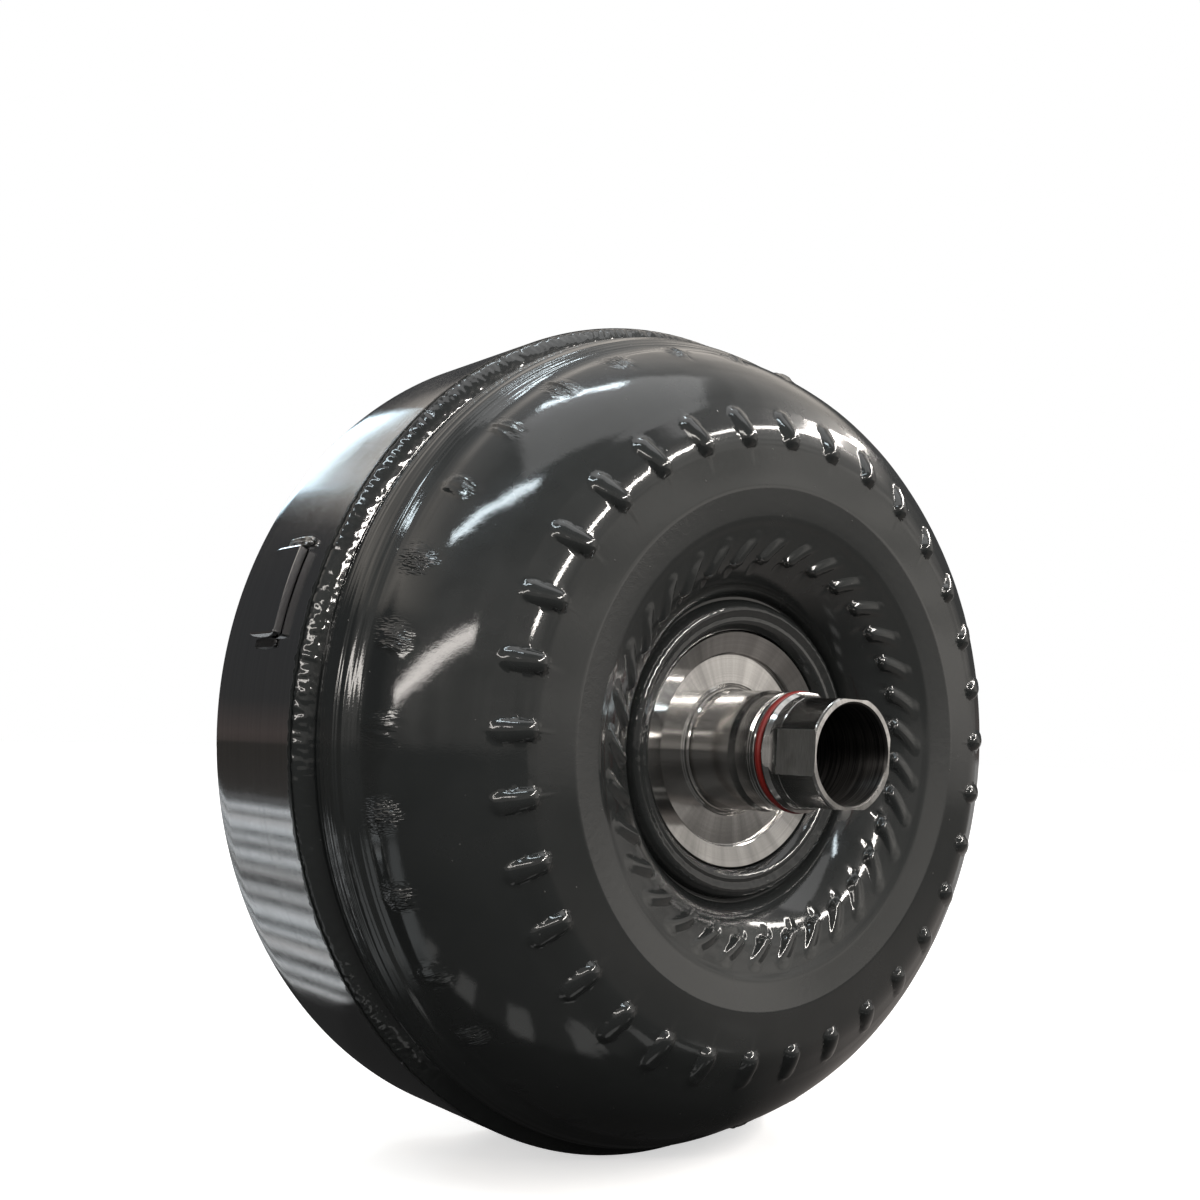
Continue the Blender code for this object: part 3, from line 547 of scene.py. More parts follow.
CAD_MATERIALS = {
    "bare_steel": COVER_STEEL,
    "dark_gloss_paint": PAINT,
    "ground_steel": HUB_STEEL,
    "sheet_steel": SHEET,
    "spring_steel": SPRING,
    "cast_aluminium": CAST,
    "friction_paper": LINING,
    "red_rubber": RED_RUBBER,
    "black_rubber": BLACK_RUBBER,
}


# ---------------------------------------------------------------- impeller shell

def shell_point(way):
    """The skin as (radius, station): way is -1 at the rim, 0 at the crest and 1 in the bowl."""
    angle = abs(way) * math.pi / 2
    cosine = max(math.cos(angle), 0.0)
    if way < 0:
        out, back = RIM_POWERS
        return (
            CREST_R + (RIM_R - CREST_R) * math.sin(angle) ** out,
            CREST - (CREST - SHELL_START) * (1 - cosine ** back),
        )
    return CREST_R - BOWL_WIDTH * math.sin(angle), BOWL + (CREST - BOWL) * cosine ** BOWL_POWER


def skin_points():
    """The skin from rim to hub as (radius, station): a rolled lip, a dome, two flat bands and the bowl."""
    foot = WELD_START + 4.3
    lip = [(RIM_R, SHELL_START), (RIM_R, foot), (148.5, foot + 0.9), (149.0, foot + 2.2), (149.4, foot + 4.0)]
    lip += [(149.5, foot + 6.2), (149.2, foot + 8.7), (148.5, foot + 11.0), (147.5, foot + 13.2)]
    lip += [(146.2, foot + 15.2), (144.9, foot + 17.0), (143.8, foot + 18.5), (142.95, foot + 19.9)]
    lip += [(142.4, foot + 21.3), (142.05, foot + 22.7), (141.75, foot + 24.1), (141.4, foot + 25.3)]
    dome = [shell_point(way) for way in spread(-0.7, -0.37, 19)]
    shoulder = [(radius, 128.2 + (118.6 - radius) * 0.557) for radius in spread(118.6, SHOULDER_R, 8)]
    bend = SHOULDER_R - FLAT_R
    for radius in spread(SHOULDER_R, FLAT_R, 14)[1:]:
        inside = radius - FLAT_R
        shoulder.append((radius, FLAT_STATION - 0.1 * inside - 0.44 * inside ** 2 / (2 * bend)))
    crease = FLAT_STATION + 0.1 * (FLAT_R - CREASE_R)
    shoulder += [(102.7, FLAT_STATION + 0.08), (97.0, FLAT_STATION + 0.65), (CREASE_R + 0.8, crease - 0.08)]
    shoulder += [(CREASE_R, crease - 0.03), (CREASE_R - 0.8, crease - 0.17), (85.0, crease - 0.96)]
    shoulder += [(81.0, 134.24), (80.0, 134.05), (79.2, 133.8), (78.4, 133.45)]
    bowl = []
    for way in spread(0.25, 0.53, 20) + spread(0.57, 1.0, 9):
        radius, station = shell_point(way)
        bowl.append((radius, station - 0.65 * smoothstep(radius, 67.0, 77.0)))
    return np.array(lip + dome + shoulder + bowl)


def column_angles():
    """Angles round the shell, close together on each blade's bump."""
    middle, half = 2.8, 2.1
    fine = spread(middle - half, middle + half, 14)
    coarse = spread(middle + half, middle - half + BLADE_PITCH, 13)[1:-1]
    return np.array([angle + BLADE_PITCH * blade for blade in range(BLADES) for angle in fine + coarse])


def pressed_bump(meridian, degrees, radius, ends, width, height, tip=1.0, roundness=0.75):
    """Height of one row of rounded bumps. ends are (meridian, angle) of a bump's inner and outer end.

    tip is the outer end's height as a share of the inner end's.
    """
    (inner, inner_degrees), (outer, outer_degrees) = ends
    share = np.clip((meridian - inner) / (outer - inner), 0, 1)
    centre = inner_degrees + (outer_degrees - inner_degrees) * share
    turned = (degrees - centre + BLADE_PITCH / 2) % BLADE_PITCH - BLADE_PITCH / 2
    slant = np.radians(outer_degrees - inner_degrees) * radius / (outer - inner)
    across = np.radians(turned) * radius / np.sqrt(1 + slant * slant)
    beyond = np.where(share <= 0, abs(meridian - inner), np.where(share >= 1, abs(meridian - outer), 0.0))
    distance = np.hypot(across, beyond)
    tall = height * (1 + (tip - 1) * share)
    return tall * np.clip(1 - (distance / width) ** 2, 0, 1) ** roundness


def outward(points):
    """Unit normals of a line of (radius, station) points, on its outer side."""
    step = np.gradient(points, axis=0)
    step /= np.linalg.norm(step, axis=1)[:, None]
    normal = np.stack([step[:, 1], -step[:, 0]], axis=1)
    return normal if normal.sum() > 0 else -normal


def shell_mesh():
    """The shell's outer skin with its three rows of bumps, closed by a plain inner side."""
    skin = skin_points()
    normal = outward(skin)
    normal[:2] = (1.0, 0.0)  # the rim's straight part
    meridian = np.concatenate([[0], np.cumsum(np.linalg.norm(np.diff(skin, axis=0), axis=1))])

    def at(radius):
        """The length of the skin from its start to this radius, beyond the rim's straight part."""
        return np.interp(-radius, -skin[3:, 0], meridian[3:])

    degrees = column_angles()[None, :]
    along, radius = meridian[:, None], skin[:, 0, None]

    def bumps(inner, outer, *shape, **more):
        ends = ((at(inner[0]), inner[1]), (at(outer[0]), outer[1]))
        return pressed_bump(along, degrees, radius, ends, *shape, **more)

    lift = bumps((107.0, 2.98), (114.6, 2.58), 3.6, 2.8, tip=0.5, roundness=0.62)
    lift += bumps((67.3, -2.5), (74.0, 3.5), 2.5, 2.0, tip=0.15)
    lift -= bumps((64.3, -5.9), (64.8, -5.5), 1.4, 0.5)
    blade_number = np.floor((degrees - 2.3) / BLADE_PITCH + 0.5).astype(int) % BLADES
    rng = np.random.default_rng(8)
    strength = rng.uniform(0.15, 1.0, (4, BLADES))
    marks = (((139.4, 0.9), (142.2, 1.7)), ((138.8, 2.4), (142.6, 2.3)), ((139.8, 3.7), (141.8, 2.9)))
    for number, (inner, outer) in enumerate(marks):
        lift += bumps(inner, outer, 0.8, 0.5, tip=1.3) * strength[number][blade_number]
    lift += bumps((139.8, 2.3), (141.4, 2.3), 4.2, 0.75, roundness=1.7) * strength[3][blade_number]
    lift -= bumps((137.4, 2.6), (137.9, 2.6), 1.8, 0.3, roundness=1.5) * strength[3][blade_number]
    dents = 0.07 * ripple(degrees, 7, 11) + 0.02 * ripple(degrees, 40, 12)
    lift += dents * smoothstep(along, 22, 34) * (1 - smoothstep(along, 70, 90))
    outer_r = skin[:, 0, None] + normal[:, 0, None] * lift
    outer_s = skin[:, 1, None] + normal[:, 1, None] * lift
    inner_rows = np.linspace(len(skin) - 4, 12, 9).astype(int)
    under = skin[inner_rows] - normal[inner_rows] * WALL
    foot = [(FLANGE_R + 0.4, BOWL), (FLANGE_R + 0.4, BOWL - WALL), (CREST_R - BOWL_WIDTH + WALL, BOWL - WALL)]
    rest = np.vstack([foot, under, [(RIM_R - WALL, SHELL_START)]])
    all_r = np.vstack([outer_r, rest[:, 0, None] + 0 * degrees])
    all_s = np.vstack([outer_s, rest[:, 1, None] + 0 * degrees])
    mesh = grid_mesh("impeller_shell_skin", round_points(all_r, all_s, degrees))
    smooth(mesh, 40.0)
    return mesh


piece("impeller_shell_skin", shell_mesh(), PAINT, ["impeller_shell"])


# ---------------------------------------------------------------- welds

def weld_mesh(name, profile, columns, seed, size, waves):
    """A bead: the profile's middle points are pushed out by irregular ripples, and its ends are not."""
    profile = np.array(profile, float)
    degrees = np.arange(columns)[None, :] * 360.0 / columns
    rows = len(profile)
    normal = outward(profile[2:])
    normal = np.vstack([normal[:1], normal[:1], normal])
    lift = np.zeros((rows, columns))
    for row in range(2, rows - 2):
        lift[row] = size * ripple(degrees[0] + row * 0.35, waves, seed + row)
        lift[row] += 0.5 * size * ripple(degrees[0], waves // 3, seed)
        lift[row] *= (0.45 if row > rows - 6 else 1.0) * (0.55 + 0.9 * abs(ripple(degrees[0], 6, seed + 90)))
    r = profile[:, 0, None] + normal[:, 0, None] * lift
    s = profile[:, 1, None] + normal[:, 1, None] * lift
    mesh = grid_mesh(name, round_points(r, s, degrees))
    smooth(mesh, 60.0)
    return mesh


def closing_weld():
    start = WELD_START
    inner = RIM_R + 0.3
    profile = [(inner, start + 4.4), (inner, start), (COVER_R - 1.2, start)]
    profile += [(COVER_R - 0.5, start + 0.4), (COVER_R - 0.6, start + 0.9), (COVER_R - 1.1, start + 1.5)]
    profile += [(COVER_R - 1.8, start + 2.1), (COVER_R - 2.6, start + 2.7), (COVER_R - 3.4, start + 3.2)]
    profile += [(COVER_R - 4.2, start + 3.6), (COVER_R - 5.0, start + 3.9), (COVER_R - 5.7, start + 4.1)]
    profile += [(inner + 0.6, start + 4.3), (inner + 0.2, start + 4.4)]
    mesh = weld_mesh("closing_weld_bead", profile, columns=1800, seed=21, size=0.17, waves=230)
    piece("closing_weld_bead", mesh, PAINT, ["closing_weld"])


def hub_weld():
    foot = BOWL + 0.3
    inner, outer = FLANGE_R + 0.5, CREST_R - BOWL_WIDTH - 0.9
    profile = [(inner, foot), (outer, foot), (outer - 0.3, foot + 0.5)]
    profile += [(52.8, foot + 1.9), (51.6, foot + 3.4), (50.6, foot + 4.1), (49.8, foot + 4.3)]
    profile += [(49.0, foot + 4.1), (47.9, foot + 3.2), (47.0, foot + 3.0), (46.2, foot + 3.3)]
    profile += [(45.4, foot + 3.1), (44.4, foot + 1.9), (inner + 0.4, foot + 0.7)]
    mesh = weld_mesh("hub_weld_bead", profile, columns=480, seed=41, size=0.09, waves=60)
    piece("hub_weld_bead", mesh, PAINT, ["hub_weld_ring"])


closing_weld()
hub_weld()


# ---------------------------------------------------------------- front cover

def cylinder_mesh(radius, ends, centre, sides):
    """A closed cylinder along Y between two stations, round an (x, z) centre in millimetres."""
    shape = bmesh.new()
    depth = (ends[1] - ends[0]) * MM
    made = bmesh.ops.create_cone(shape, cap_ends=True, segments=sides, radius1=radius * MM,
                                 radius2=radius * MM, depth=depth)
    place = Matrix.Translation((centre[0] * MM, -(ends[0] + ends[1]) / 2 * MM, centre[1] * MM))
    bmesh.ops.transform(shape, matrix=place @ Matrix.Rotation(math.pi / 2, 4, "X"), verts=made["verts"])
    mesh = bpy.data.meshes.new("tool")
    shape.to_mesh(mesh)
    shape.free()
    return mesh


def merged(meshes):
    shape = bmesh.new()
    for mesh in meshes:
        shape.from_mesh(mesh)
    joined = bpy.data.meshes.new("tools")
    shape.to_mesh(joined)
    shape.free()
    return joined


def boss_centres():
    """The bosses' (x, z) centres in millimetres."""
    angles = [math.radians(360.0 * i / BOSS_COUNT) for i in range(BOSS_COUNT)]
    return [(-BOSS_CIRCLE_R * math.cos(a), BOSS_CIRCLE_R * math.sin(a)) for a in angles]


def faces_engine(centre, normal):
    return normal.y > 0.9


def front_cover():
    bore = PILOT_R - 7.2
    profile = [(bore, COVER_FACE), (PILOT_R + 6.0, COVER_FACE), (PILOT_R + 6.8, COVER_FACE + 0.7)]
    profile += [(PILOT_R + 12.0, COVER_FACE + 0.7), (PILOT_R + 12.8, COVER_FACE)]
    for groove in (92.0, 118.5):
        profile += [(groove, COVER_FACE), (groove + 0.5, COVER_FACE + 0.5), (groove + 1.5, COVER_FACE + 0.5),
                    (groove + 2.0, COVER_FACE)]
    profile += [(COVER_R - 2.6, COVER_FACE)]
    profile += arc((COVER_R - 2.6, COVER_FACE + 2.6), 2.6, -80, 0, 7)
    profile += [(COVER_R, 22.0), (COVER_R, 33.0), (COVER_R, 38.0), (COVER_R, 50.0), (COVER_R, 66.0)]
    profile += [(COVER_R, SKIRT_END)]
    profile += [(SKIRT_R, SKIRT_END), (SKIRT_R, 47.1), (SKIRT_R + 1.8, 47.1), (SKIRT_R + 1.8, 44.8)]
    profile += [(SKIRT_R, 44.8), (SKIRT_R, PLATE_BACK), (bore, PLATE_BACK)]
    mesh = lathe("front_cover_turned", profile, 360)
    obj = piece("front_cover_turned", mesh, COVER_STEEL, ["front_cover"])
    hole_ends = (COVER_FACE - 2, COVER_FACE + 5.0)
    cut(obj, merged([cylinder_mesh(THREAD_R - 0.05, hole_ends, centre, 40) for centre in boss_centres()]))
    smooth(obj.data, 12.0)
    paint_faces(obj, FACE_STEEL, faces_engine)


def boss_mesh(centre):
    """A drive boss with a chamfered edge, a weld fillet at its foot and a threaded hole."""
    face = COVER_TOP
    profile = [(THREAD_R + 0.8, face), (BOSS_R - 1.2, face), (BOSS_R - 0.3, face + 0.5), (BOSS_R, face + 1.1)]
    profile += [(BOSS_R, COVER_FACE - 1.4), (BOSS_R + 0.4, COVER_FACE - 0.6)]
    profile += [(BOSS_R + 1.2, COVER_FACE + 0.02), (THREAD_R, COVER_FACE + 0.02)]
    turn = COVER_FACE - 0.3
    while turn > face + 1.3:
        profile += [(THREAD_R, turn), (THREAD_R - 0.75, turn - THREAD_PITCH * 0.45)]
        profile += [(THREAD_R, turn - THREAD_PITCH * 0.9)]
        turn -= THREAD_PITCH
    mesh = lathe("boss", profile, 72)
    mesh.transform(Matrix.Translation((centre[0] * MM, 0, centre[1] * MM)))
    return mesh


def bosses():
    for number, centre in enumerate(boss_centres(), 1):
        mesh = boss_mesh(centre)
        mesh.name = f"flexplate_boss_{number}"
        smooth(mesh, 25.0)
        piece(f"flexplate_boss_{number}", mesh, FACE_STEEL)


def crank_pilot():
    neck = PILOT_R - 7.5
    profile = [(0, 0.6), (1.2, 0.6), (3.2, 0.0), (PILOT_R - 9.0, 0), (PILOT_R - 8.6, 0.4), (PILOT_R - 8.2, 0)]
    profile += [(PILOT_R - 1.6, 0), (PILOT_R - 0.5, 0.5), (PILOT_R, 1.6), (PILOT_R, 9.0)]
    profile += [(PILOT_R - 0.6, 9.6), (PILOT_R - 0.6, 11.4), (PILOT_R, 12.0), (PILOT_R, COVER_FACE - 0.3)]
    profile += [(neck, COVER_FACE - 0.3), (neck, PILOT_BACK), (0, PILOT_BACK)]
    mesh = lathe("crank_pilot_turned", profile, 160)
    smooth(mesh, 25.0)
    piece("crank_pilot_turned", mesh, HUB_STEEL, ["crank_pilot"])


def pilot_weld():
    """The fillet weld that holds the pilot in the cover."""
    outline = [(0.1, 0.05), (0.1, 2.2), (0.5, 2.4), (1.1, 2.1)]
    outline += [(1.7, 1.6), (2.3, 1.0), (2.8, 0.5), (3.2, 0.05)]
    profile = [(PILOT_R + out, COVER_FACE - rise) for out, rise in outline]
    mesh = weld_mesh("pilot_fillet_weld", profile, columns=360, seed=61, size=0.12, waves=60)
    piece("pilot_fillet_weld", mesh, TACK)


front_cover()
bosses()
crank_pilot()
pilot_weld()


# ---------------------------------------------------------------- balance weight

def arc_block(name, arc_degrees, ends, inner, outer, across, along, rounding, seed=0, rough=0.0):
    """A block bent round the cover, with rounded edges, and lumpy where rough is over 0.

    ends are its stations, inner and outer its radii, and across and along its numbers of points.
    """
    angles = np.linspace(*arc_degrees, along)
    turn = np.linspace(0, FULL_TURN, across, endpoint=False)
    middle_s, half_s = sum(ends) / 2, (ends[1] - ends[0]) / 2
    middle_r, half_r = (inner + outer) / 2, (outer - inner) / 2
    side = np.sign(np.cos(turn)) * np.abs(np.cos(turn)) ** rounding * half_s + middle_s
    rise = np.sign(np.sin(turn)) * np.abs(np.sin(turn)) ** rounding * half_r + middle_r
    rng = np.random.default_rng(seed)
    rows = []
    for number, angle in enumerate(angles):
        near_end = min(number, len(angles) - 1 - number)
        taper = (0.0, 0.72, 0.93, 1.0)[min(near_end, 3)]
        shake = rng.normal(0, rough, (2, across)) if rough else np.zeros((2, across))
        s = middle_s + (side - middle_s) * taper + shake[0] * (taper > 0)
        r = inner + (rise - inner) * (0.25 + 0.75 * taper) + np.abs(shake[1]) * (taper > 0)
        r = np.where(rise < middle_r, np.minimum(r, middle_r), r)
        rows.append(round_points(r, s, np.full(across, angle)))
    for end_row in (rows[0], rows[-1]):
        for peak in (across // 4, 3 * across // 4):
            end_row[peak] = end_row[peak - 1]  # so that no spur is left where the end closes to a seam
    points = np.array(rows)
    mesh = grid_mesh(name, points, closed=False)
    shape = bmesh.new()
    shape.from_mesh(mesh)
    bmesh.ops.remove_doubles(shape, verts=shape.verts, dist=SAME_POINT)
    bmesh.ops.holes_fill(shape, edges=shape.edges)
    bmesh.ops.recalc_face_normals(shape, faces=shape.faces)
    shape.to_mesh(mesh)
    shape.free()
    smooth(mesh, 40.0)
    return mesh


def faces_hub(centre, normal):
    return normal.y < -0.6


def balance_weight():
    inner, outer = COVER_R + 0.1, COVER_R + 3.0
    strip = arc_block("balance_weight_strip", (12.2, 24.1), (39.4, 57.6), inner, outer,
                      across=64, along=60, rounding=0.13)
    obj = piece("balance_weight_strip", strip, COVER_STEEL, ["balance_weight"])
    # the strip's faces that look towards the hub get the dark, rough steel
    paint_faces(obj, DARK_ROUGH_STEEL, faces_hub)
    top = arc_block("tack_weld_upper", (23.9, 25.3), (43.5, 60.0), inner - 0.4, outer - 1.2,
                    across=48, along=14, rounding=0.7, seed=3, rough=0.2)
    piece("tack_weld_upper", top, TACK)
    low = arc_block("tack_weld_lower", (10.9, 12.4), (41.0, 56.0), inner - 0.4, outer - 2.0,
                    across=48, along=14, rounding=0.7, seed=4, rough=0.12)
    # the lower tack weld gets the same dark, rough steel, darker than the upper one
    piece("tack_weld_lower", low, DARK_ROUGH_STEEL)


balance_weight()


# ---------------------------------------------------------------- impeller hub

def hub_profile():
    """The hub's section from the flange's back, outwards and along to the nose, as (radius, station)."""
    groove = (O_RING_MIDDLE - 1.75, O_RING_MIDDLE + 1.75)
    points = [(BORE_R, FLANGE_BACK + 0.6), (BORE_R + 0.6, FLANGE_BACK), (FLANGE_R - 0.6, FLANGE_BACK)]
    points += [(FLANGE_R, FLANGE_BACK + 0.6), (FLANGE_R, BOWL - 0.45), (FLANGE_R - 0.45, BOWL)]
    points += [(38.4, 111.45), (35.0, 110.4), (34.6, 110.1), (34.4, 109.6), (34.4, 108.7), (34.1, 108.5)]
    points += [(28.0, 108.5), (23.9, 108.5), (23.5, 108.8), (23.1, 108.6), (22.7, 108.9), (22.3, 109.5)]
    points += [(22.0, 109.6), (21.8, 109.5), (21.45, 109.9), (JOURNAL_R, 110.6), (JOURNAL_R, 116.0)]
    points += [(JOURNAL_R, 122.0)]
    points += [(JOURNAL_R, 129.4), (JOURNAL_R - 0.12, 129.7), (LAND_R + 0.1, 131.9), (LAND_R, 132.3)]
    points += [(LAND_R, 138.0), (LAND_R - 0.25, 138.15), (LAND_R - 0.25, 138.45), (LAND_R, 138.6)]
    points += [(LAND_R, 139.1), (LAND_R - 0.25, 139.25), (LAND_R - 0.25, 139.5), (LAND_R, 139.65)]
    points += [(LAND_R, groove[0] - 0.25), (LAND_R - 0.25, groove[0]), (LAND_R - 2.3, groove[0] + 0.1)]
    points += [(LAND_R - 2.3, groove[1] - 0.1), (LAND_R - 0.1, groove[1]), (LAND_R + 0.1, groove[1] + 0.25)]
    points += [(LAND_R + 0.1, groove[1] + 0.8), (LAND_R - 0.1, groove[1] + 1.1), (NOSE_R, groove[1] + 2.2)]
    points += [(NOSE_R, 150.6), (NOSE_R - 0.12, 150.75), (NOSE_R - 0.12, 151.0), (NOSE_R, 151.15)]
    points += [(NOSE_R, LENGTH - 0.75), (NOSE_R - 0.15, LENGTH - 0.4), (NOSE_R - 0.6, LENGTH)]
    points += [(BORE_R + 0.6, LENGTH), (BORE_R + 0.1, LENGTH - 0.4), (BORE_R, LENGTH - 0.9)]
    return points


def flat_cutter(degrees):
    """A slab whose inner face is one drive flat, with the round run-out that the mill leaves."""
    run_out = 5.3
    far, side = FLAT_DISTANCE + 9.0, 15.0
    outline = [(FLAT_DISTANCE, LENGTH + 3.0), (FLAT_DISTANCE, FLAT_START)]
    for a in spread(0, 60, 13)[1:]:
        out, down = run_out * (1 - math.cos(math.radians(a))), run_out * math.sin(math.radians(a))
        outline.append((FLAT_DISTANCE + out, FLAT_START - down))
    outline += [(far, outline[-1][1] - 2.0), (far, LENGTH + 3.0)]
    shape = bmesh.new()
    ends = []
    for z in (-side, side):
        ends.append([shape.verts.new((-d * MM, -s * MM, z * MM)) for d, s in outline])
    count = len(outline)
    for i in range(count):
        j = (i + 1) % count
        shape.faces.new((ends[0][i], ends[0][j], ends[1][j], ends[1][i]))
    shape.faces.new(ends[0][::-1])
    shape.faces.new(ends[1])
    bmesh.ops.recalc_face_normals(shape, faces=shape.faces)
    bmesh.ops.transform(shape, matrix=Matrix.Rotation(math.radians(degrees), 4, "Y"), verts=shape.verts)
    mesh = bpy.data.meshes.new("flat")
    shape.to_mesh(mesh)
    shape.free()
    return mesh


def is_flat(centre, normal):
    """True on the drive flats."""
    away = Vector((centre.x, 0, centre.z)).normalized()
    for number in range(FLAT_COUNT):
        turn = math.radians(FLAT_ANGLE + 90.0 * number)
        facing = Vector((-math.cos(turn), 0, math.sin(turn)))
        if normal.dot(facing) > 0.9999 and away.dot(facing) > 0.7 and -centre.y / MM > FLAT_START - 5:
            return True
    return False


def is_bore(centre, normal):
    """True on the faces near the bore that look at the axis."""
    inward = normal.x * centre.x + normal.z * centre.z < -1e-3 * MM
    return inward and math.hypot(centre.x, centre.z) < (BORE_R + 0.7) * MM


def impeller_hub():
    mesh = lathe("impeller_hub_ground", hub_profile(), 288)
    obj = piece("impeller_hub_ground", mesh, HUB_STEEL, ["impeller_hub"])
    for number in range(FLAT_COUNT):
        cut(obj, flat_cutter(FLAT_ANGLE + 90.0 * number))
    smooth(obj.data, 10.0)
    paint_faces(obj, MILLED, is_flat)
    # painted shade: the faces inside the bore get the near-black steel
    paint_faces(obj, BORE_SHADE_STEEL, is_bore)


def o_ring():
    cord_r = 1.35
    profile = arc((NOSE_R + 0.05, O_RING_MIDDLE), cord_r, 0, 345, 24)
    mesh = lathe("hub_o_ring_red", profile, 240)
    smooth(mesh, 80.0)
    piece("hub_o_ring_red", mesh, RED_RUBBER, ["hub_o_ring"])


impeller_hub()
o_ring()


# ---------------------------------------------------------------- inner pieces keep their CAD shapes

for node in frame["nodes"].values():
    for index, old in enumerate(node.data.materials):
        name = old.name.split(".")[0] if old else ""
        if name in CAD_MATERIALS:
            node.data.materials[index] = CAD_MATERIALS[name]


# ---------------------------------------------------------------- floor, light and camera

def floor():
    """A round floor, white to the camera. In reflections it has the tones of the photo's surroundings."""
    size, sides, gap = 7.0, 64, 0.0004
    turns = [FULL_TURN * i / sides for i in range(sides)]
    mesh = bpy.data.meshes.new("studio_floor")
    mesh.from_pydata([(size * math.cos(a), size * math.sin(a), 0) for a in turns], [], [list(range(sides))])
    obj = add_object("studio_floor", mesh)
    obj.location = (0, 0, -COVER_R * MM - gap)
    g = Graph("pale_floor")
    grain = g.noise(g.place(), 60.0, 3.0, 0.5)
    seen = g.node("LightPath").outputs["Is Camera Ray"]
    pale = g.colors(grain, (0.3, (0.86, 0.86, 0.86)), (0.7, (0.9, 0.9, 0.9)))
    split = g.node("SeparateXYZ", {0: g.place()})
    right, behind = split.outputs[0], split.outputs[1]
    far = g.length(g.place())

    def sloping(x_share, y_share):
        return g.plus(g.times(right, x_share), g.times(behind, y_share))

    # daylight in bars on the left, which the skirt reflects
    slope = g.math("ARCTAN2", COVER_R * MM, g.times(right, -1.0))
    wander = g.noise(g.vector(g.times(slope, 15.0), 0.0), 1.0)
    wave = g.math("SINE", g.plus(g.times(slope, 118.0), g.times(wander, 9.0)))
    lit = g.mix(g.range(wander, 0.4, 0.6), (1.45, 1.55, 1.6), (0.95, 0.95, 0.94))
    bars = g.mix(g.range(wave, -0.45, 0.35), (0.03, 0.03, 0.03), lit)
    bars = g.mix(g.range(slope, 0.3, 0.33), (0.06, 0.055, 0.05), bars)
    bars = g.mix(g.range(slope, 0.88, 0.92), bars, (0.02, 0.02, 0.02))
    bars = g.mix(g.range(right, 0.02, 0.2), bars, (0.5, 0.49, 0.48))

    # in front: dark up to a slanting edge with a row of light marks, then a dull grey
    edge = sloping(0.466, 0.885)
    marks = g.range(g.math("SINE", g.times(sloping(0.885, -0.466), 128.0)), 0.2, 0.5)
    marks = g.times(marks, g.range(edge, -0.196, -0.19))
    dull = g.mix(marks, (0.11, 0.11, 0.108), (0.8, 0.8, 0.78))
    ahead = g.mix(g.range(edge, -0.163, -0.169), (0.012, 0.012, 0.012), dull)
    beige = g.mix(g.range(far, 0.4, 0.9), (0.34, 0.31, 0.29), (0.19, 0.18, 0.17))
    beige = g.mix(g.range(far, 1.8, 3.0), beige, (0.62, 0.59, 0.56))
    ahead = g.mix(g.range(right, 0.02, 0.12), ahead, beige)
    glow = g.times(g.range(slope, 0.3, 0.36), g.range(slope, 0.62, 0.75, 1.0, 0.0))
    glow = g.times(glow, g.range(behind, -0.1, -0.09))
    glow = g.times(glow, g.range(behind, -0.06, -0.045, 1.0, 0.0))
    ahead = g.mix(glow, ahead, (0.8, 0.84, 0.85))
    sheen = g.mix(g.range(behind, 0.05, 0.06), ahead, bars)
    white = g.mix(g.range(far, 0.3, 1.2), (0.95, 0.95, 0.95), (1.5, 1.5, 1.5))
    g.principled(
        Base_Color=g.mix(seen, (0.02, 0.02, 0.02), pale), Roughness=0.95, Metallic=0.0,
        Specular_IOR_Level=0.0, Emission_Color=g.mix(seen, sheen, white), Emission_Strength=0.62)
    mesh.materials.append(g.material)


def world():
    """White to the camera, and a dim room with a bright window band in reflections."""
    made = bpy.data.worlds.new("studio")
    bpy.context.scene.world = made
    made.use_nodes = True
    g = Graph("studio", made.node_tree)
    background = g.tree.nodes["Background"]
    direction = g.node("TexCoord").outputs["Generated"]
    split = g.node("SeparateXYZ", {0: direction})
    height = g.range(split.outputs[2], -1.0, 1.0)
    front = g.colors(
        height, (0.0, (0.02, 0.02, 0.02)), (0.44, (0.06, 0.055, 0.05)), (0.485, (0.95, 0.9, 0.85)),
        (0.57, (1.08, 1.03, 0.96)), (0.66, (0.92, 0.88, 0.83)), (0.78, (0.8, 0.78, 0.75)),
        (0.86, (0.4, 0.4, 0.4)), (1.0, (0.36, 0.37, 0.38)))
    back = g.colors(
        height, (0.0, (0.02, 0.02, 0.02)), (0.47, (0.05, 0.045, 0.04)), (0.5, (0.09, 0.075, 0.07)),
        (0.54, (0.05, 0.05, 0.05)), (0.72, (0.05, 0.052, 0.055)), (0.765, (0.95, 0.88, 0.8)),
        (0.88, (0.7, 0.66, 0.62)), (1.0, (0.36, 0.37, 0.38)))
    dim = g.mix(0.72, front, (0.12, 0.12, 0.12))
    front = g.mix(g.range(split.outputs[0], 0.3, 0.62), dim, front)
    front = g.mix(g.range(split.outputs[0], 0.8, 0.95, 0.0, 0.6), front, (0.12, 0.11, 0.11))
    shelves = g.noise(g.scale(direction, (1.2, 1.2, 10.0)), 1.8, 3.0, 0.6)
    front = g.mix(g.range(shelves, 0.42, 0.56, 0.45, 0.0), front, (0.1, 0.095, 0.09))
    room = g.mix(g.range(split.outputs[1], -0.25, 0.25), front, back)
    panels = g.noise(g.scale(direction, (1.0, 1.0, 0.1)), 2.6, 3.0, 0.6)
    room = g.mix(g.range(panels, 0.4, 0.52, 0.3, 0.0), room, (0.06, 0.058, 0.055))
    seen = g.node("LightPath").outputs["Is Camera Ray"]
    g.put(background.inputs["Color"], g.mix(seen, room, (1.0, 1.0, 1.0)))
    g.put(background.inputs["Strength"], 1.0)


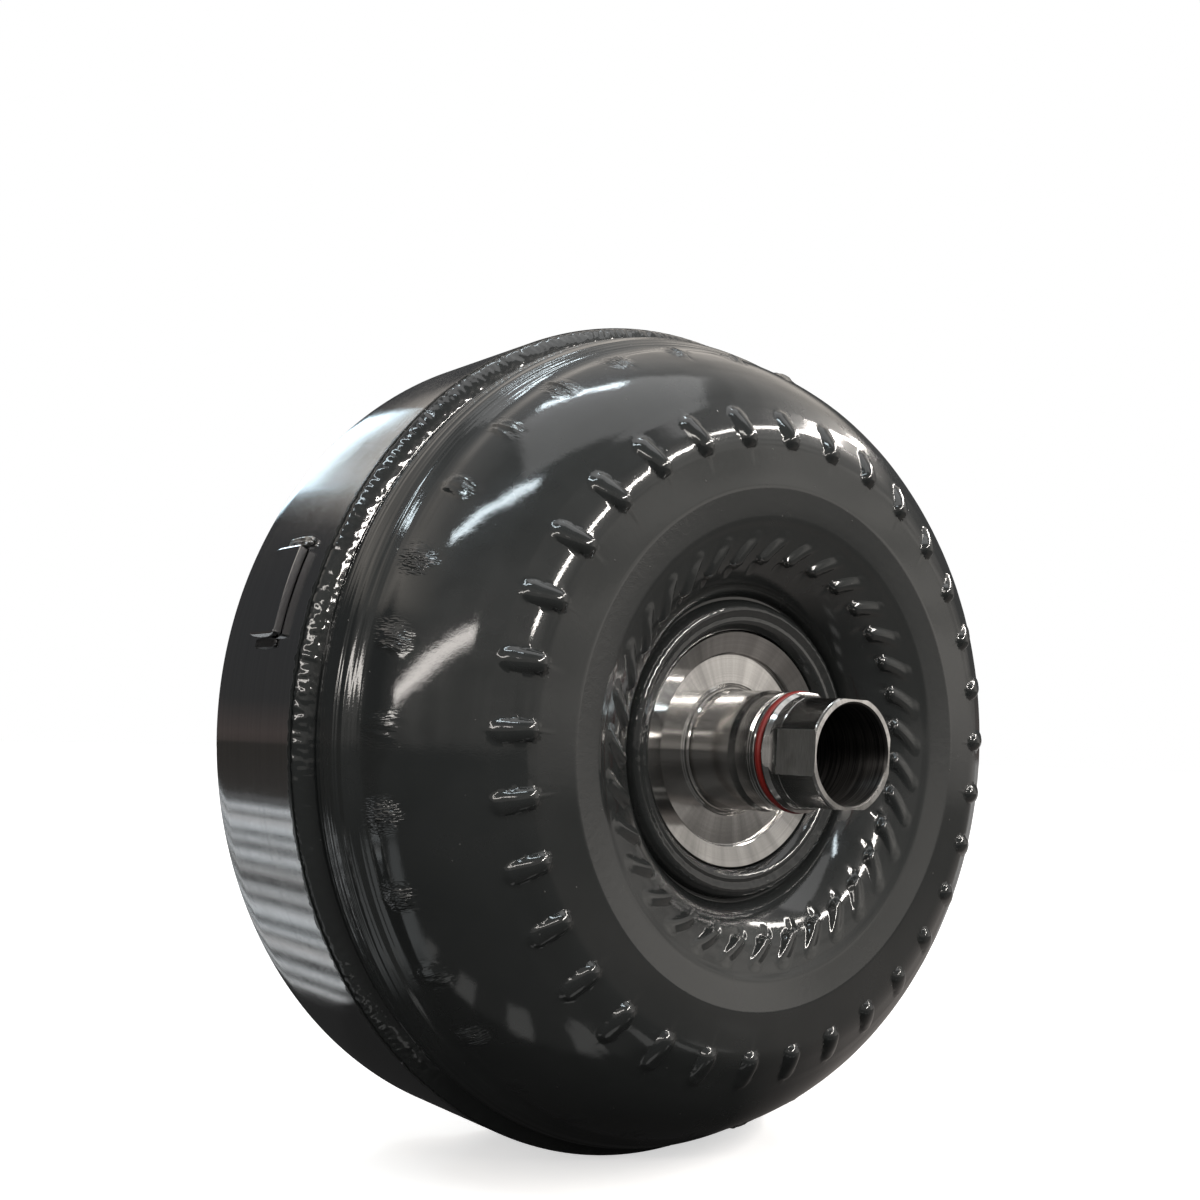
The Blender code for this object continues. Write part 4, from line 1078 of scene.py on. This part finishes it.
def strip_light(name, first, last, width, power, color, distance=1.6):
    """A soft strip between two directions seen from the object. Width is in metres, and power in watts."""
    start, end = Vector(first) * distance, Vector(last) * distance
    middle = (start + end) / 2
    data = bpy.data.lights.new(name, "AREA")
    data.shape = "RECTANGLE"
    data.size = (end - start).length
    data.size_y = width
    data.energy = power
    data.color = color
    along = (end - start).normalized()
    back = middle.normalized()
    across = back.cross(along).normalized()
    back = along.cross(across).normalized()
    obj = add_object(name, data)
    obj.matrix_world = Matrix.Translation(middle) @ Matrix((along, across, back)).transposed().to_4x4()
    obj.visible_camera = False


WARM, COOL, BLUE, SOFT = (1.0, 0.95, 0.9), (0.82, 0.94, 1.0), (0.68, 0.88, 1.0), (1.0, 1.0, 1.0)


def lights():
    strip_light("strip_front", (-0.26, -0.91, 0.33), (0.44, -0.64, 0.64), 0.05, 14, WARM)
    strip_light("strip_right", (0.41, -0.57, 0.71), (0.83, 0.08, 0.54), 0.05, 6.0, WARM)
    strip_light("strip_side", (-0.98, -0.06, 0.17), (-0.61, -0.70, 0.37), 0.12, 4.3, WARM)
    strip_light("strip_upper", (-0.68, -0.13, 0.72), (-0.29, -0.49, 0.82), 0.09, 4, COOL)
    strip_light("strip_top", (-0.09, 0.17, 0.98), (0.20, -0.01, 0.98), 0.05, 1.8, COOL)
    strip_light("strip_back", (0.0, 0.88, 0.46), (0.12, 0.86, 0.48), 0.05, 0.35, COOL)
    strip_light("strip_back_glow", (-0.08, 0.88, 0.45), (0.2, 0.85, 0.5), 0.2, 0.9, BLUE)
    strip_light("soft_overhead", (-0.3, -0.1, 1.0), (0.5, -0.3, 1.0), 1.4, 7.5, SOFT, 2.2)


def camera():
    """The photo's camera, solved from the converter's concentric circles."""
    turn, tilt = math.radians(38.11), math.radians(2.41)
    aside, above, distance = 63.97, 6.59, 476.1  # millimetres from the crest's centre
    s, c, se, ce = math.sin(turn), math.cos(turn), math.sin(tilt), math.cos(tilt)
    right, up = Vector((c, -s * ce, s * se)), Vector((0, se, ce))
    forward = Vector((s, c * ce, -c * se))
    target = Vector((0, -CREST, 0)) * MM
    place = target - (right * aside + up * above + forward * distance) * MM
    data = bpy.data.cameras.new("camera")
    data.lens = 41.4
    data.sensor_width = 36.0
    data.shift_y = 0.1425
    data.clip_start = 0.01
    obj = add_object("camera", data)
    obj.matrix_world = Matrix.Translation(place) @ Matrix((right, up, -forward)).transposed().to_4x4()
    bpy.context.scene.camera = obj


floor()
world()
lights()
camera()
bpy.context.scene.view_settings.view_transform = "Standard"
